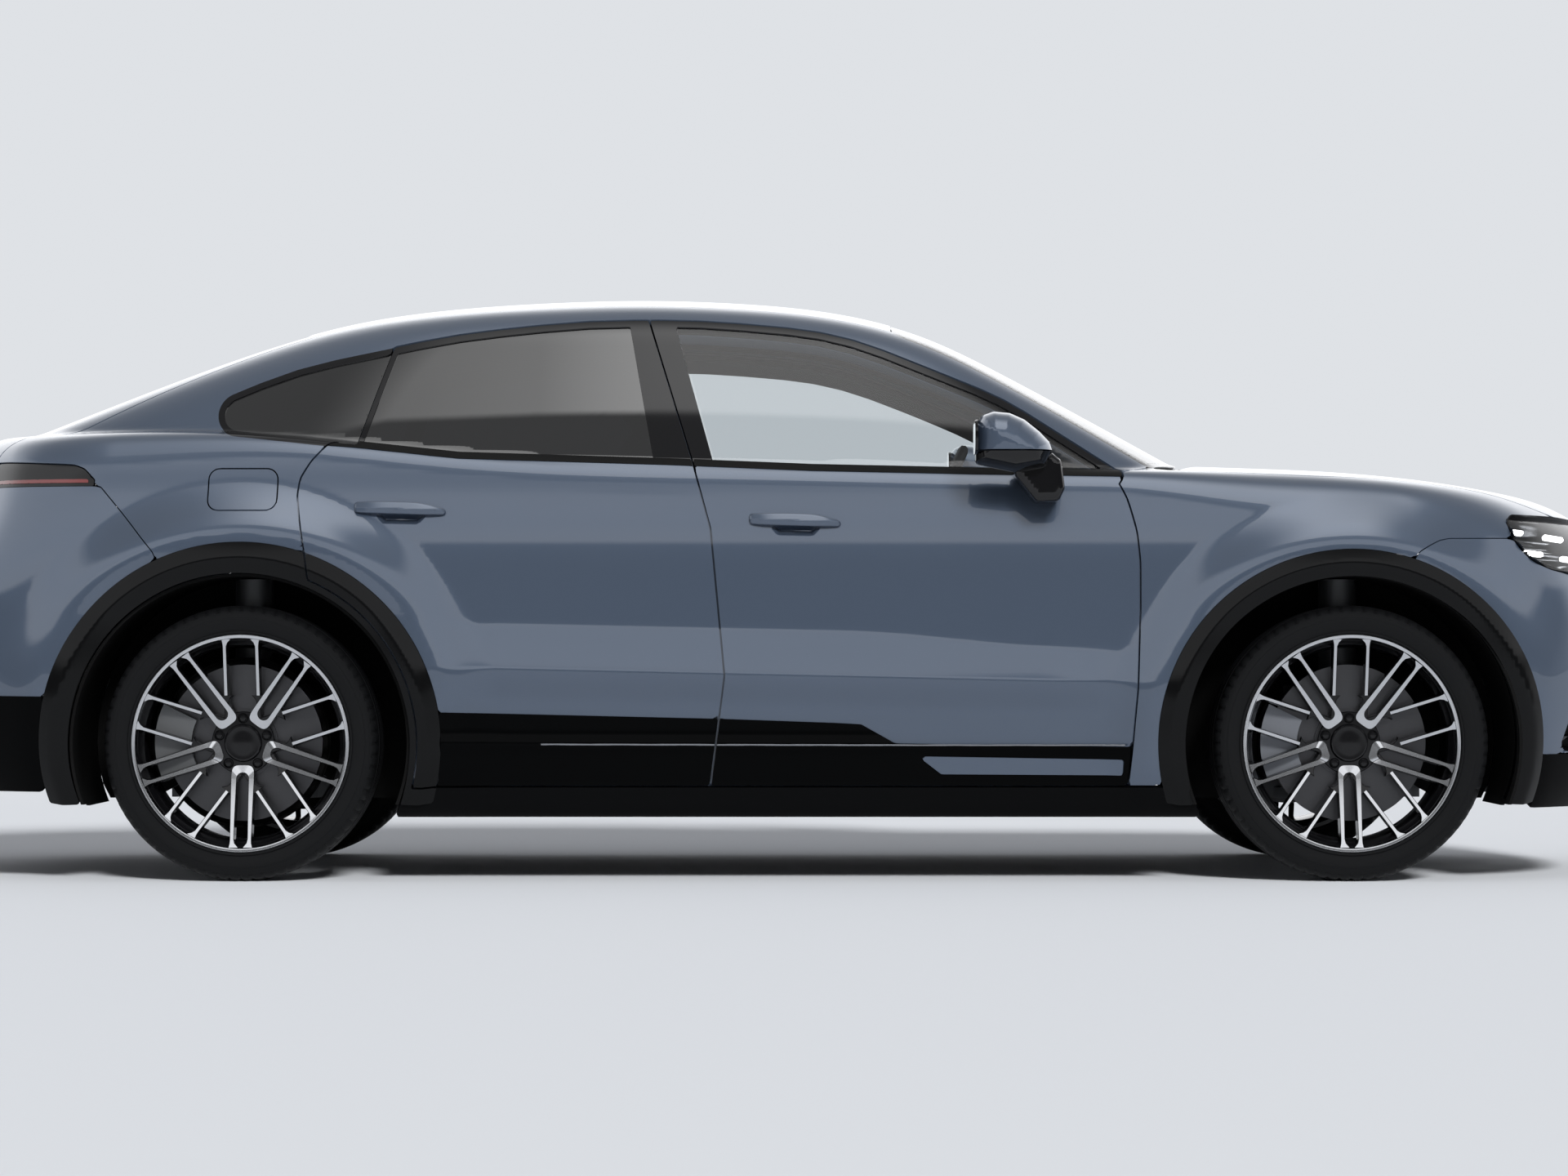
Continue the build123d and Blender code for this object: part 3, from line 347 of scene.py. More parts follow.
# Cutting the skin
def clip(points, tris, g):
    """The part of a triangle mesh where g is negative, cut along g = 0."""
    inside = g < 0
    count = inside[tris].sum(axis=1)
    keep = [tris[count == 3]]
    cut = tris[(count > 0) & (count < 3)]
    if len(cut):
        state = inside[cut]
        lone = np.where(state.sum(axis=1) == 1, np.argmax(state, axis=1), np.argmin(state, axis=1))
        rows = np.arange(len(cut))
        a = cut[rows, lone]
        b = cut[rows, (lone + 1) % 3]
        c = cut[rows, (lone + 2) % 3]
        pairs = np.concatenate([np.stack([a, b], 1), np.stack([a, c], 1)])
        key, where = np.unique(np.sort(pairs, axis=1), axis=0, return_inverse=True)
        where = where.ravel()
        g0, g1 = g[key[:, 0]], g[key[:, 1]]
        t = (g0 / (g0 - g1))[:, None]
        new = points[key[:, 0]] * (1 - t) + points[key[:, 1]] * t
        base = len(points)
        points = np.concatenate([points, new])
        ab = base + where[:len(cut)]
        ac = base + where[len(cut):]
        one = inside[a]
        keep.append(np.stack([a, ab, ac], 1)[one])
        keep.append(np.stack([ab, b, c], 1)[~one])
        keep.append(np.stack([ab, c, ac], 1)[~one])
    tris = np.concatenate(keep)
    used, tris = np.unique(tris, return_inverse=True)
    return points[used], tris.reshape(-1, 3)


def cut_skin(*rules, source=None):
    """The skin where every rule is negative. A rule takes x, |y| and z."""
    p, t = source if source else (SKIN, SKIN_TRIS)
    for rule in rules:
        if len(t) == 0:
            break
        g = rule(p[:, 0], np.abs(p[:, 1]), p[:, 2])
        p, t = clip(p, t, g)
    return p, t


def largest_patch(p, t):
    """The biggest connected patch of a mesh."""
    n = len(p)
    label = np.arange(n)
    for _ in range(400):
        low = label[t].min(axis=1)
        new = label.copy()
        for k in range(3):
            np.minimum.at(new, t[:, k], low)
        new = new[new]
        if (new == label).all():
            break
        label = new
    ids, counts = np.unique(label[t[:, 0]], return_counts=True)
    return p, t[label[t[:, 0]] == ids[np.argmax(counts)]]


def border_edges(t):
    e = np.concatenate([t[:, [0, 1]], t[:, [1, 2]], t[:, [2, 0]]])
    s = np.sort(e, axis=1)
    _, first, count = np.unique(s, axis=0, return_index=True, return_counts=True)
    return e[first[count == 1]]


def facing(p, t, n):
    """The triangles, all turned over if most of them face against the normals."""
    a, b, c = p[t[:, 0]], p[t[:, 1]], p[t[:, 2]]
    along = np.einsum("ij,ij->i", np.cross(b - a, c - a), n[t[:, 0]])
    return t[:, ::-1] if along.mean() < 0 else t


def placed(name, data):
    """A new object in the scene."""
    obj = bpy.data.objects.new(name, data)
    bpy.context.scene.collection.objects.link(obj)
    return obj


def mesh_object(name, points, faces, material, normals=None):
    """A mesh piece. Normals are one per vertex, or None to let Blender work them out."""
    mesh = bpy.data.meshes.new(name)
    mesh.from_pydata([tuple(map(float, p)) for p in points], [], [tuple(map(int, f)) for f in faces])
    mesh.validate()
    obj = placed(name, mesh)
    mesh.polygons.foreach_set("use_smooth", [True] * len(mesh.polygons))
    if normals is not None and len(mesh.vertices) == len(normals):
        mesh.normals_split_custom_set_from_vertices([tuple(map(float, v)) for v in normals])
    mesh.materials.append(material)
    return obj


def panel(name, patch, material, body, lift=0.0, rim=0.014, hand=1, both=False, centre=False, turned=False):
    """A panel of the skin with its own edge turned inwards. hand is -1 for the left-hand copy, and a
    turned panel faces into the cabin."""
    p, t = patch
    if len(t) == 0:
        raise ValueError("empty panel " + name)
    n = unit(gradient(p))
    t = facing(p, t, n)
    if centre:
        n[np.abs(p[:, 1]) < 1e-5, 1] = 0
        n = unit(n)
    shaped = callable(lift)
    top = p + n * (lift(p)[:, None] if shaped else lift)
    edges = border_edges(t)
    if centre:
        mid = (np.abs(p[edges[:, 0], 1]) < 1e-5) & (np.abs(p[edges[:, 1], 1]) < 1e-5)
        edges = edges[~mid]
    ring = np.unique(edges)
    base = len(p)
    slot_of = {int(v): i for i, v in enumerate(ring)}
    tangent = np.zeros((len(p), 3))
    direction = top[edges[:, 1]] - top[edges[:, 0]]
    np.add.at(tangent, edges[:, 0], direction)
    np.add.at(tangent, edges[:, 1], direction)
    out = unit(np.cross(tangent[ring], n[ring]))
    upper = top[ring]
    lower = top[ring] - n[ring] * rim
    verts = np.concatenate([top, upper, lower])
    norms = np.concatenate([n, unit(out * 0.9 + n[ring] * 0.4), out])
    faces = [tuple(f) for f in t]
    r = len(ring)
    for a, b in edges:
        i, j = slot_of[int(a)], slot_of[int(b)]
        faces.append((base + j, base + i, base + r + i, base + r + j))
    if hand < 0 or both:
        flip, flip_n = verts * [1, -1, 1], norms * [1, -1, 1]
        flip_f = [f[::-1] for f in faces]
        if both:
            k = len(verts)
            if centre:
                keep = np.abs(verts[:, 1]) < 1e-5
                index = np.where(keep & (np.arange(k) < base), np.arange(k), np.arange(k) + k)
                flip_f = [tuple(index[list(f)]) for f in flip_f]
            else:
                flip_f = [tuple(np.array(f) + k) for f in flip_f]
            verts = np.concatenate([verts, flip])
            norms = np.concatenate([norms, flip_n])
            faces = faces + flip_f
        else:
            verts, norms, faces = flip, flip_n, flip_f
    if turned:
        faces = [f[::-1] for f in faces]
        norms = -norms
    used = np.unique(np.concatenate([np.array(f) for f in faces]))
    remap = np.full(len(verts), -1)
    remap[used] = np.arange(len(used))
    faces = [tuple(remap[list(f)]) for f in faces]
    obj = mesh_object(name, verts[used], faces, material, None if shaped else norms[used])
    if shaped:
        obj.data.set_sharp_from_angle(angle=0.5)
    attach(obj, body)
    return obj


# Materials
def give(node, values):
    """Sets the values of a node's sockets by name."""
    for key, value in values.items():
        node.inputs[key].default_value = value
    return node


def add_node(nodes, kind, values=None, **settings):
    node = nodes.new("ShaderNode" + kind)
    for key, value in settings.items():
        setattr(node, key, value)
    return give(node, values or {})


def new_material(name, values):
    """A material with its nodes, links and main shader, whose sockets get the values."""
    mat = bpy.data.materials.new(name)
    mat.use_nodes = True
    nodes = mat.node_tree.nodes
    return mat, nodes, mat.node_tree.links, give(nodes["Principled BSDF"], values)


def noise_bump(nodes, links, shader, scale, strength, distance=0.001):
    coord = add_node(nodes, "TexCoord")
    noise = add_node(nodes, "TexNoise", {"Scale": scale, "Detail": 4.0})
    bump = add_node(nodes, "Bump", {"Strength": strength, "Distance": distance})
    links.new(coord.outputs["Object"], noise.inputs["Vector"])
    links.new(noise.outputs["Fac"], bump.inputs["Height"])
    links.new(bump.outputs["Normal"], shader.inputs["Normal"])
    return noise


def paint(name, base, flake):
    """Metallic paint: a fine flake under a clear coat."""
    mat, nodes, links, shader = new_material(name, {
        "Metallic": 0.62, "Roughness": 0.34, "Coat Weight": 1.0, "Coat Roughness": 0.025, "Coat IOR": 1.55})
    coord = add_node(nodes, "TexCoord")
    fine = add_node(nodes, "TexVoronoi", {"Scale": 2600.0})
    share = add_node(nodes, "MapRange", {"To Min": 0.0, "To Max": 0.5})
    mix = add_node(nodes, "Mix", {"A": (*base, 1), "B": (*flake, 1)}, data_type="RGBA")
    links.new(coord.outputs["Object"], fine.inputs["Vector"])
    links.new(fine.outputs["Distance"], share.inputs["Value"])
    links.new(share.outputs["Result"], mix.inputs["Factor"])
    links.new(mix.outputs["Result"], shader.inputs["Base Color"])
    return mat


def plastic(name, colour, rough, scale=900.0, strength=0.12, coat=0.0, metallic=0.0, shine=0.5):
    """Any other solid surface: a fine grain in its relief and its roughness."""
    mat, nodes, links, shader = new_material(name, { "Specular IOR Level": shine, "Base Color": (*colour, 1),
                                                     "Roughness": rough, "Metallic": metallic,
                                                    "Coat Weight": coat, "Coat Roughness": 0.03})
    noise = noise_bump(nodes, links, shader, scale, strength, 0.0004)
    vary = add_node(nodes, "MapRange", {"To Min": rough * 0.92, "To Max": min(1.0, rough * 1.10)})
    links.new(noise.outputs["Fac"], vary.inputs["Value"])
    links.new(vary.outputs["Result"], shader.inputs["Roughness"])
    return mat


def glass(name, tint, see, index=1.52):
    """Window glass: a mirror-like surface over a tinted see-through one."""
    mat, nodes, links, shader = new_material(name, {})
    nodes.remove(shader)
    clear = add_node(nodes, "BsdfTransparent", {"Color": (*tint, 1)})
    shine = add_node(nodes, "BsdfGlossy", {"Roughness": 0.0, "Color": (1, 1, 1, 1)})
    edge = add_node(nodes, "Fresnel", {"IOR": index})
    mix = add_node(nodes, "MixShader")
    links.new(edge.outputs["Fac"], mix.inputs["Fac"])
    links.new(clear.outputs["BSDF"], mix.inputs[1])
    links.new(shine.outputs["BSDF"], mix.inputs[2])
    links.new(mix.outputs["Shader"], nodes["Material Output"].inputs["Surface"])
    mat.diffuse_color = (*tint, see)
    return mat


def glow(name, colour, strength):
    return new_material(name, {"Base Color": (*colour, 1), "Emission Color": (*colour, 1),
                               "Emission Strength": strength, "Roughness": 0.2})[0]


PAINT = paint("body_metallic", (0.050, 0.070, 0.106), (0.100, 0.132, 0.188))
GLOSS_BLACK = plastic("gloss_black", (0.002, 0.002, 0.0025), 0.05, 300.0, 0.02, shine=0.45)
CLADDING = plastic("cladding", (0.0008, 0.0009, 0.0010), 0.20, 700.0, 0.05, shine=0.04)
ARCH_TRIM = plastic("arch_trim", (0.0016, 0.0017, 0.0019), 0.16, 700.0, 0.05, shine=0.19)
SATIN = plastic("satin_black", (0.0014, 0.0015, 0.0017), 0.45, 1500.0, 0.25, shine=0.06)
DARK = plastic("under_plastic", (0.003, 0.003, 0.003), 0.75, 500.0, 0.3, shine=0.15)
SEAL = plastic("rubber_seal", (0.003, 0.003, 0.003), 0.6, 900.0, 0.2, shine=0.15)
SATIN_TRIM = plastic("satin_trim", (0.30, 0.31, 0.33), 0.25, 300.0, 0.04, metallic=1.0)
LEATHER = plastic("seat_leather", (0.018, 0.018, 0.020), 0.52, 260.0, 0.5)
CABIN = plastic("cabin_trim", (0.022, 0.022, 0.024), 0.62, 420.0, 0.4)
HEADLINER = plastic("headliner_cloth", (0.20, 0.20, 0.21), 0.85, 1400.0, 0.5, shine=0.2)
ALLOY = plastic("machined_alloy", (0.62, 0.63, 0.65), 0.17, 1200.0, 0.05, metallic=1.0)
RIM_BLACK = plastic("rim_black", (0.003, 0.003, 0.0035), 0.14, 400.0, 0.03, shine=0.35)
IRON = plastic("brake_iron", (0.10, 0.10, 0.105), 0.34, 600.0, 0.15, metallic=1.0)
CAST = plastic("cast_alloy", (0.33, 0.34, 0.35), 0.45, 500.0, 0.35, metallic=1.0)
CALIPER = plastic("caliper_grey", (0.17, 0.18, 0.20), 0.35, 500.0, 0.15, metallic=0.6)
RUBBER = plastic("tyre_rubber", (0.0036, 0.0038, 0.0042), 0.60, 800.0, 0.35, shine=0.17)
STEEL = plastic("structure_steel", (0.16, 0.165, 0.17), 0.5, 300.0, 0.2, metallic=0.8)
CLEAR = glass("clear_glass", (0.80, 0.83, 0.84), 0.35)
TINT = glass("tinted_glass", (0.035, 0.038, 0.045), 0.8, index=1.95)
SCREEN_GLASS = glass("screen_glass_clear", (0.80, 0.83, 0.84), 0.35, index=1.75)
LENS = glass("lamp_lens", (0.93, 0.94, 0.95), 0.3)
RED_LENS = plastic("red_lens", (0.10, 0.004, 0.004), 0.08, 200.0, 0.02, coat=1.0)
LAMP_SILVER = plastic("lamp_silver", (0.075, 0.078, 0.084), 0.20, 300.0, 0.02, metallic=1.0)
LAMP_WHITE = glow("lamp_white", (1.0, 1.0, 1.0), 3.0)
MIRROR_FACE = plastic("mirror_silver", (0.80, 0.81, 0.83), 0.03, 200.0, 0.0, metallic=1.0)


# Shapes made from a formula
def blob(value, centre, reach, rows=40, columns=56):
    """The closed surface value = 0 round a centre, found along rays. reach is the half size each way."""
    t = np.linspace(0, math.pi, rows + 1)
    f = np.linspace(0, 2 * math.pi, columns, endpoint=False)
    tt, ff = np.meshgrid(t[1:-1], f, indexing="ij")
    d = np.stack([np.cos(tt), np.sin(tt) * np.cos(ff), np.sin(tt) * np.sin(ff)], axis=2).reshape(-1, 3)
    d = np.concatenate([[[1, 0, 0]], d, [[-1, 0, 0]]]) * np.array(reach)
    near, far = np.zeros(len(d)), np.full(len(d), 2.2)
    for _ in range(24):
        mid = (near + far) / 2
        p = np.array(centre) + d * mid[:, None]
        out = value(p[:, 0], p[:, 1], p[:, 2]) > 0
        far = np.where(out, mid, far)
        near = np.where(out, near, mid)
    p = np.array(centre) + d * ((near + far) / 2)[:, None]
    faces = []
    for j in range(columns):
        k = (j + 1) % columns
        faces.append((0, 1 + j, 1 + k))
        last = 1 + (rows - 2) * columns
        faces.append((len(p) - 1, last + k, last + j))
        for i in range(rows - 2):
            a, b = 1 + i * columns + j, 1 + i * columns + k
            c, e = a + columns, b + columns
            faces.append((a, c, e))
            faces.append((a, e, b))
    return p, np.array(faces)


def slope(value, p, e=0.0004):
    x, y, z = p[:, 0], p[:, 1], p[:, 2]
    g = np.stack([value(x + e, y, z) - value(x - e, y, z), value(x, y + e, z) - value(x, y - e, z),
                  value(x, y, z + e) - value(x, y, z - e)], axis=1)
    return unit(g)


def formed(name, value, centre, reach, material, body, rows=40, columns=56, cut=None, mirror_too=False):
    """A closed piece from a formula, facing outwards, its bends kept sharp where the formula is."""
    p, t = blob(value, centre, reach, rows, columns)
    if cut is not None:
        p, t = clip(p, t, cut(p[:, 0], p[:, 1], p[:, 2]))
    n = slope(value, p)
    t = facing(p, t, n)
    if mirror_too:
        p, n, t = p * [1, -1, 1], n * [1, -1, 1], t[:, ::-1]
    obj = mesh_object(name, p, t, material, n)
    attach(obj, body)
    return obj


# Zones of the skin, each a rule that is negative inside
def grow(zone, d):
    return lambda x, a, z: zone(x, a, z) - d


def outside(zone, d=0.0):
    return lambda x, a, z: d - zone(x, a, z)


def all_of(*zones):
    def value(x, a, z):
        out = zones[0](x, a, z)
        for other in zones[1:]:
            out = np.maximum(out, other(x, a, z))
        return out
    return value


def any_of(*zones):
    def value(x, a, z):
        out = zones[0](x, a, z)
        for other in zones[1:]:
            out = np.minimum(out, other(x, a, z))
        return out
    return value


def ahead_of(place):
    return lambda x, a, z: place - x


def behind(place):
    return lambda x, a, z: x - place


def higher_than(place):
    return lambda x, a, z: place - z


def lower_than(place):
    return lambda x, a, z: z - place


def wider_than(place):
    return lambda x, a, z: place - a


def side_zone(shape):
    return lambda x, a, z: shape(x, z)


def plan_zone(half, radii, low):
    """A zone of the top from its half outline in plan, drawn across the centre plane."""
    points = list(half) + [(x, -a) for x, a in reversed(half) if a > 0]
    shape = outline(points, list(radii) + [r for r, p in zip(reversed(radii), reversed(half)) if p[1] > 0])
    return lambda x, a, z: np.maximum(shape(x, a), low - z)


def below(shape):
    """Under a line in side view that is walked forwards."""
    return lambda x, a, z: -shape(x, z)


def above(shape):
    return lambda x, a, z: shape(x, z)


# Widths of the shut lines and of the black trim round the windows
GAP = 0.0050
TRIM = 0.017
# The side: window, door edges, the split between the doors, the bar behind the rear door, and the belt line
WINDOW = side_zone(outline([(0.950, 1.107), (0.639, 1.310), (0.186, 1.495), (-0.190, 1.529), (-0.500, 1.529),
                            (-0.854, 1.490), (-1.303, 1.396), (-1.641, 1.253), (-0.800, 1.160),
                            (0.100, 1.127)], [0, 0.7, 0.9, 2.4, 2.4, 2.2, 1.1, 0.05, 3.0, 3.0]))
FRONT_EDGE = [(0.976, 0.262), (0.988, 0.378), (1.001, 0.525), (1.010, 0.737), (1.010, 0.872), (1.001, 0.955),
              (0.976, 1.045), (0.939, 1.112)]
REAR_EDGE = [(-1.119, 1.190), (-1.200, 1.199), (-1.249, 1.145), (-1.277, 1.099), (-1.283, 1.054),
             (-1.277, 1.009), (-1.258, 0.900), (-1.245, 0.809), (-1.245, 0.262)]
SPLIT = side_zone(open_line([(-0.158, 0.0), (-0.158, 0.262), (-0.120, 0.56), (-0.158, 0.96), (-0.207, 1.14),
                             (-0.337, 1.56)]))
BAR = side_zone(open_line([(-1.150, 1.140), (-1.030, 1.500)]))
BELT = open_line([(-1.70, 1.250), (-1.427, 1.214), (-1.282, 1.196), (-1.108, 1.182), (-0.851, 1.154),
                  (-0.271, 1.136), (0.118, 1.120), (0.553, 1.111), (1.30, 1.099)])
PILLAR_FRONT = side_zone(open_line([(-0.128, 1.05), (-0.278, 1.60)]))
PILLAR_REAR = side_zone(open_line([(-0.297, 1.05), (-0.398, 1.60)]))
REAR_ARCH = side_zone(circle(REAR_X, 0.485))
LOWER_DOORS = side_zone(outline(FRONT_EDGE + REAR_EDGE, [0.01, 0.3, 0.3, 0.3, 0.3, 0.2, 0.2, 0.01,
                                                         0, 0.04, 0.06, 0.06, 0.06, 0.2, 0.3, 0.3, 0.01]))
DOORS = all_of(any_of(LOWER_DOORS, all_of(grow(WINDOW, TRIM), outside(BAR, 0.003))), outside(REAR_ARCH))
FRONT_DOOR = all_of(DOORS, outside(SPLIT, GAP / 2))
REAR_DOOR = all_of(DOORS, grow(SPLIT, -GAP / 2))
FRONT_GLASS = all_of(WINDOW, outside(PILLAR_FRONT))
REAR_GLASS = all_of(WINDOW, PILLAR_REAR, outside(BAR, 0.016))
QUARTER_GLASS = all_of(WINDOW, grow(BAR, -0.003))
CLAD_LINE = open_line([(-1.30, 0.470), (-0.899, 0.461), (-0.134, 0.443), (0.180, 0.432), (0.252, 0.428),
                       (0.345, 0.376), (0.972, 0.367), (1.30, 0.362)])
BRIGHT_LINE = open_line([(-1.30, 0.379), (-0.614, 0.374), (0.34, 0.372), (1.30, 0.372)])
INSERT = side_zone(outline([(0.407, 0.341), (0.967, 0.332), (0.965, 0.290), (0.470, 0.293)], 0.006))
FLAP = side_zone(outline([(-1.527, 1.012), (-1.342, 1.012), (-1.342, 1.124), (-1.527, 1.124)], 0.028))
# The top in plan: windscreen, roof, tailgate and its glass, cowl and hood
SCREEN = plan_zone([(1.172, 0), (1.150, 0.42), (1.060, 0.735), (0.345, 0.585), (0.352, 0)],
                   [0, 0.9, 0.02, 0.05, 0], 1.0)
ROOF_ZONE = plan_zone([(0.347, 0), (0.340, 0.56), (-1.257, 0.52), (-1.257, 0)], [0, 0.02, 0.02, 0], 1.3)
GATE = plan_zone([(-1.262, 0), (-1.262, 0.522), (-1.70, 0.60), (-2.15, 0.69), (-2.60, 0.72), (-2.60, 0)],
                 [0, 0.04, 1.5, 1.5, 0, 0], 0.800)
BACKLIGHT = plan_zone([(-1.300, 0), (-1.300, 0.470), (-1.70, 0.545), (-2.10, 0.600), (-2.12, 0)],
                      [0, 0.05, 1.5, 0.06, 0], 1.15)
COWL = plan_zone([(1.172, 0), (1.150, 0.42), (1.060, 0.735), (1.110, 0.815), (1.206, 0.38), (1.219, 0)],
                 [0, 0.9, 0.01, 0.01, 0.9, 0], 0.9)
HOOD = plan_zone([(1.228, 0), (1.215, 0.38), (1.128, 0.80), (1.50, 0.80), (1.95, 0.748), (2.20, 0.64),
                  (2.33, 0.38), (2.35, 0)], [0, 0.9, 0.02, 0.6, 1.2, 0.3, 0.5, 0], 0.85)
# The ends: the bumpers' upper lines, the lamps, and the rings round the wheel arches
FRONT_LINE = side_zone(outline([(1.748, 0), (1.748, 0.885), (1.831, 0.932), (2.048, 0.934), (2.024, 0.995),
                                (2.70, 1.010), (2.70, 0)], [0, 0.06, 0.10, 0.01, 0.01, 0, 0]))
REAR_LINE = side_zone(outline([(-2.70, 1.079), (-1.829, 1.079), (-1.664, 0.885), (-1.70, 0.50), (-1.70, 0.0),
                               (-2.70, 0.0)], [0, 0.02, 0.05, 0.1, 0, 0]))
LAMP_AREA = side_zone(outline([(2.015, 0.994), (2.165, 0.990), (2.70, 0.955), (2.70, 0.800), (2.27, 0.826),
                               (2.145, 0.852), (2.09, 0.874), (2.058, 0.905), (2.037, 0.932)],
                              [0.012, 0.4, 0, 0, 0.3, 0.1, 0.08, 0.06, 0.2]))
HEADLAMP = all_of(LAMP_AREA, lambda x, a, z: 0.455 + 0.16 * (0.93 - z) - a, ahead_of(1.6))
TAIL_BAND = side_zone(outline([(-1.829, 1.080), (-1.872, 1.125), (-1.90, 1.136), (-2.10, 1.146),
                               (-2.70, 1.150), (-2.70, 1.080)], [0.006, 0.02, 0.06, 0.3, 0, 0]))
FRONT_LIP, FRONT_OUTER = 0.456, 0.529
REAR_LIP, REAR_OUTER = 0.464, 0.548
FRONT_CLAD = side_zone(circle(FRONT_X, FRONT_OUTER))
REAR_CLAD = side_zone(circle(REAR_X, REAR_OUTER))
FRONT_OPENING = side_zone(circle(FRONT_X, FRONT_LIP))
REAR_OPENING = side_zone(circle(REAR_X, REAR_LIP))
ARCHES = any_of(FRONT_CLAD, REAR_CLAD)
FENDER = side_zone(outline([(0.976, -0.2)] + FRONT_EDGE + [(1.062, 1.134), (3.0, 1.20), (3.0, -0.2)]))


def strip(zone, inner, outer):
    """The band that runs along a zone's edge between two distances from it."""
    return all_of(grow(zone, outer), outside(zone, inner))


# Panels
RIM = 0.020
GLASS_SUNK = -0.004
GLASS_RIM = 0.004
PANEL_FOOT = higher_than(0.262)


def right_half(zone, fine=0, coarse=0.05):
    """The skin in a zone. fine splits its triangles that many times before the last cut."""
    if not fine:
        return cut_skin(zone)
    p, t = cut_skin(grow(zone, coarse))
    for _ in range(fine):
        p, t = split_once(p, t)
    return cut_skin(zone, source=(land(p), t))


def split_once(p, t):
    edges = np.concatenate([t[:, [0, 1]], t[:, [1, 2]], t[:, [2, 0]]])
    key, where = np.unique(np.sort(edges, axis=1), axis=0, return_inverse=True)
    where = where.ravel().reshape(3, -1) + len(p)
    mid = (p[key[:, 0]] + p[key[:, 1]]) / 2
    ab, bc, ca = where
    a, b, c = t.T
    tris = np.concatenate([np.stack(v, 1) for v in ((a, ab, ca), (ab, b, bc), (ca, bc, c), (ab, bc, ca))])
    return np.concatenate([p, mid]), tris


def sides(name, zone, material, base, replaces=None, fine=0, coarse=0.05, tidy=None, **more):
    """A panel on both sides: one piece on the body, or one piece for each door. tidy picks what is kept of
    its mesh."""
    patch = right_half(zone, fine, coarse)
    if tidy:
        patch = tidy(*patch)
    if base in ("body", "hood", "tailgate"):
        made = [(panel(name, patch, material, base, both=True, **more), "")]
    elif base == "charge_flap":
        made = [(panel(name, patch, material, base, **more), "")]
    else:
        made = [(panel(name + end, patch, material, base + end, hand=hand, **more), end)
                for end, hand in (("_right", 1), ("_left", -1))]
    for piece, end in made:
        if replaces:
            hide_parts(replaces + end)


def across(name, zone, material, base, **more):
    """A panel that runs across the centre plane."""
    sides(name, zone, material, base, centre=True, **more)


# A door handle's bar: middle x and z, half length, half height and slope
HANDLES = {"front": (0.072, 0.983, 0.126, 0.021, -0.030), "rear": (-1.004, 1.015, 0.126, 0.021, -0.030)}


def build_doors():
    for which, zone, window in (("front", FRONT_DOOR, FRONT_GLASS), ("rear", REAR_DOOR, REAR_GLASS)):
        body = "door_" + which
        pocket = handle_pocket(HANDLES[which])
        low = all_of(zone, below(BELT))
        painted = all_of(low, above(CLAD_LINE), outside(pocket))
        clad = all_of(low, below(CLAD_LINE), outside(INSERT, 0.001))
        if which == "rear":
            painted = all_of(painted, outside(REAR_CLAD))
            clad = all_of(clad, outside(REAR_CLAD))
        sides("door_skin_" + which, painted, PAINT, body, replaces="door_" + which, rim=RIM)
        sides("door_cladding_" + which, clad, CLADDING, body, fine=1, rim=0.022, lift=clad_lift)
        frame_zone = all_of(zone, above(BELT), outside(window))
        sides("window_frame_" + which, frame_zone, GLOSS_BLACK, body, fine=1, rim=0.035)
        belt = all_of(zone, above(BELT), lambda x, a, z: -BELT(x, z) - 0.019)
        sides("belt_seal_" + which, belt, SEAL, body, fine=1, coarse=0.02, lift=0.0015, rim=0.010)
        sides("side_window_" + which, grow(window, 0.004), CLEAR if which == "front" else TINT, body,
              replaces="door_glass_" + which, lift=GLASS_SUNK, rim=GLASS_RIM)
        inner = all_of(grow(zone, -0.040), below(BELT), higher_than(0.42))
        sides("door_trim_" + which, inner, CABIN, body, lift=-0.080, rim=-0.052, turned=True)
        sides("handle_pocket_" + which, pocket, PAINT, body, fine=2, lift=pocket_depth(pocket), rim=0.001)
        if which == "front":
            sides("cladding_insert", INSERT, PAINT, body, fine=1, lift=0.009, rim=0.012)
        line = all_of(low, lambda x, a, z: np.abs(BRIGHT_LINE(x, z)) - 0.0022, ahead_of(-0.62), behind(0.975))
        sides("bright_line_" + which, line, SATIN_TRIM, body, fine=2, coarse=0.02, lift=0.0135, rim=0.004)


def clad_lift(p):
    """The door cladding stands a little proud, with a ridge along the bright line."""
    return 0.004 + 0.008 * np.exp(-(BRIGHT_LINE(p[:, 0], p[:, 2]) / 0.020) ** 2)


def handle_pocket(handle):
    x, z = handle[:2]
    return side_zone(outline([(x - 0.080, z - 0.004), (x + 0.085, z - 0.006), (x + 0.050, z - 0.044),
                              (x - 0.048, z - 0.042)], 0.018))


def pocket_depth(pocket):
    return lambda p: -0.026 * ease(-pocket(p[:, 0], np.abs(p[:, 1]), p[:, 2]), 0.0, 0.022)


def handle_form(handle):
    """A bar handle that stands clear of the door's side."""
    cx, cz, half, tall, lean = handle

    def value(x, y, z):
        u = (x - cx) / half
        w = np.abs(y) - side_width(x, z)
        v = z - cz - lean * (x - cx)
        top = tall * (0.95 - 0.25 * u ** 2 - 1.1 * ramp(u - 0.45, 0.2))
        bottom = -tall * (0.75 - 0.35 * ramp(-u - 0.7, 0.2) - 0.15 * ramp(u - 0.4, 0.2))
        out = 0.026 - 0.012 * u ** 4 - 0.30 * np.abs(v)
        f = smooth_max(v - top, bottom - v, 0.004)
        f = smooth_max(f, (w - out) * 0.9, 0.006)
        f = smooth_max(f, (0.006 * (1 - u ** 4) - 0.010) - w, 0.003)
        return smooth_max(f, np.abs(x - cx) - half, 0.012)
    return value


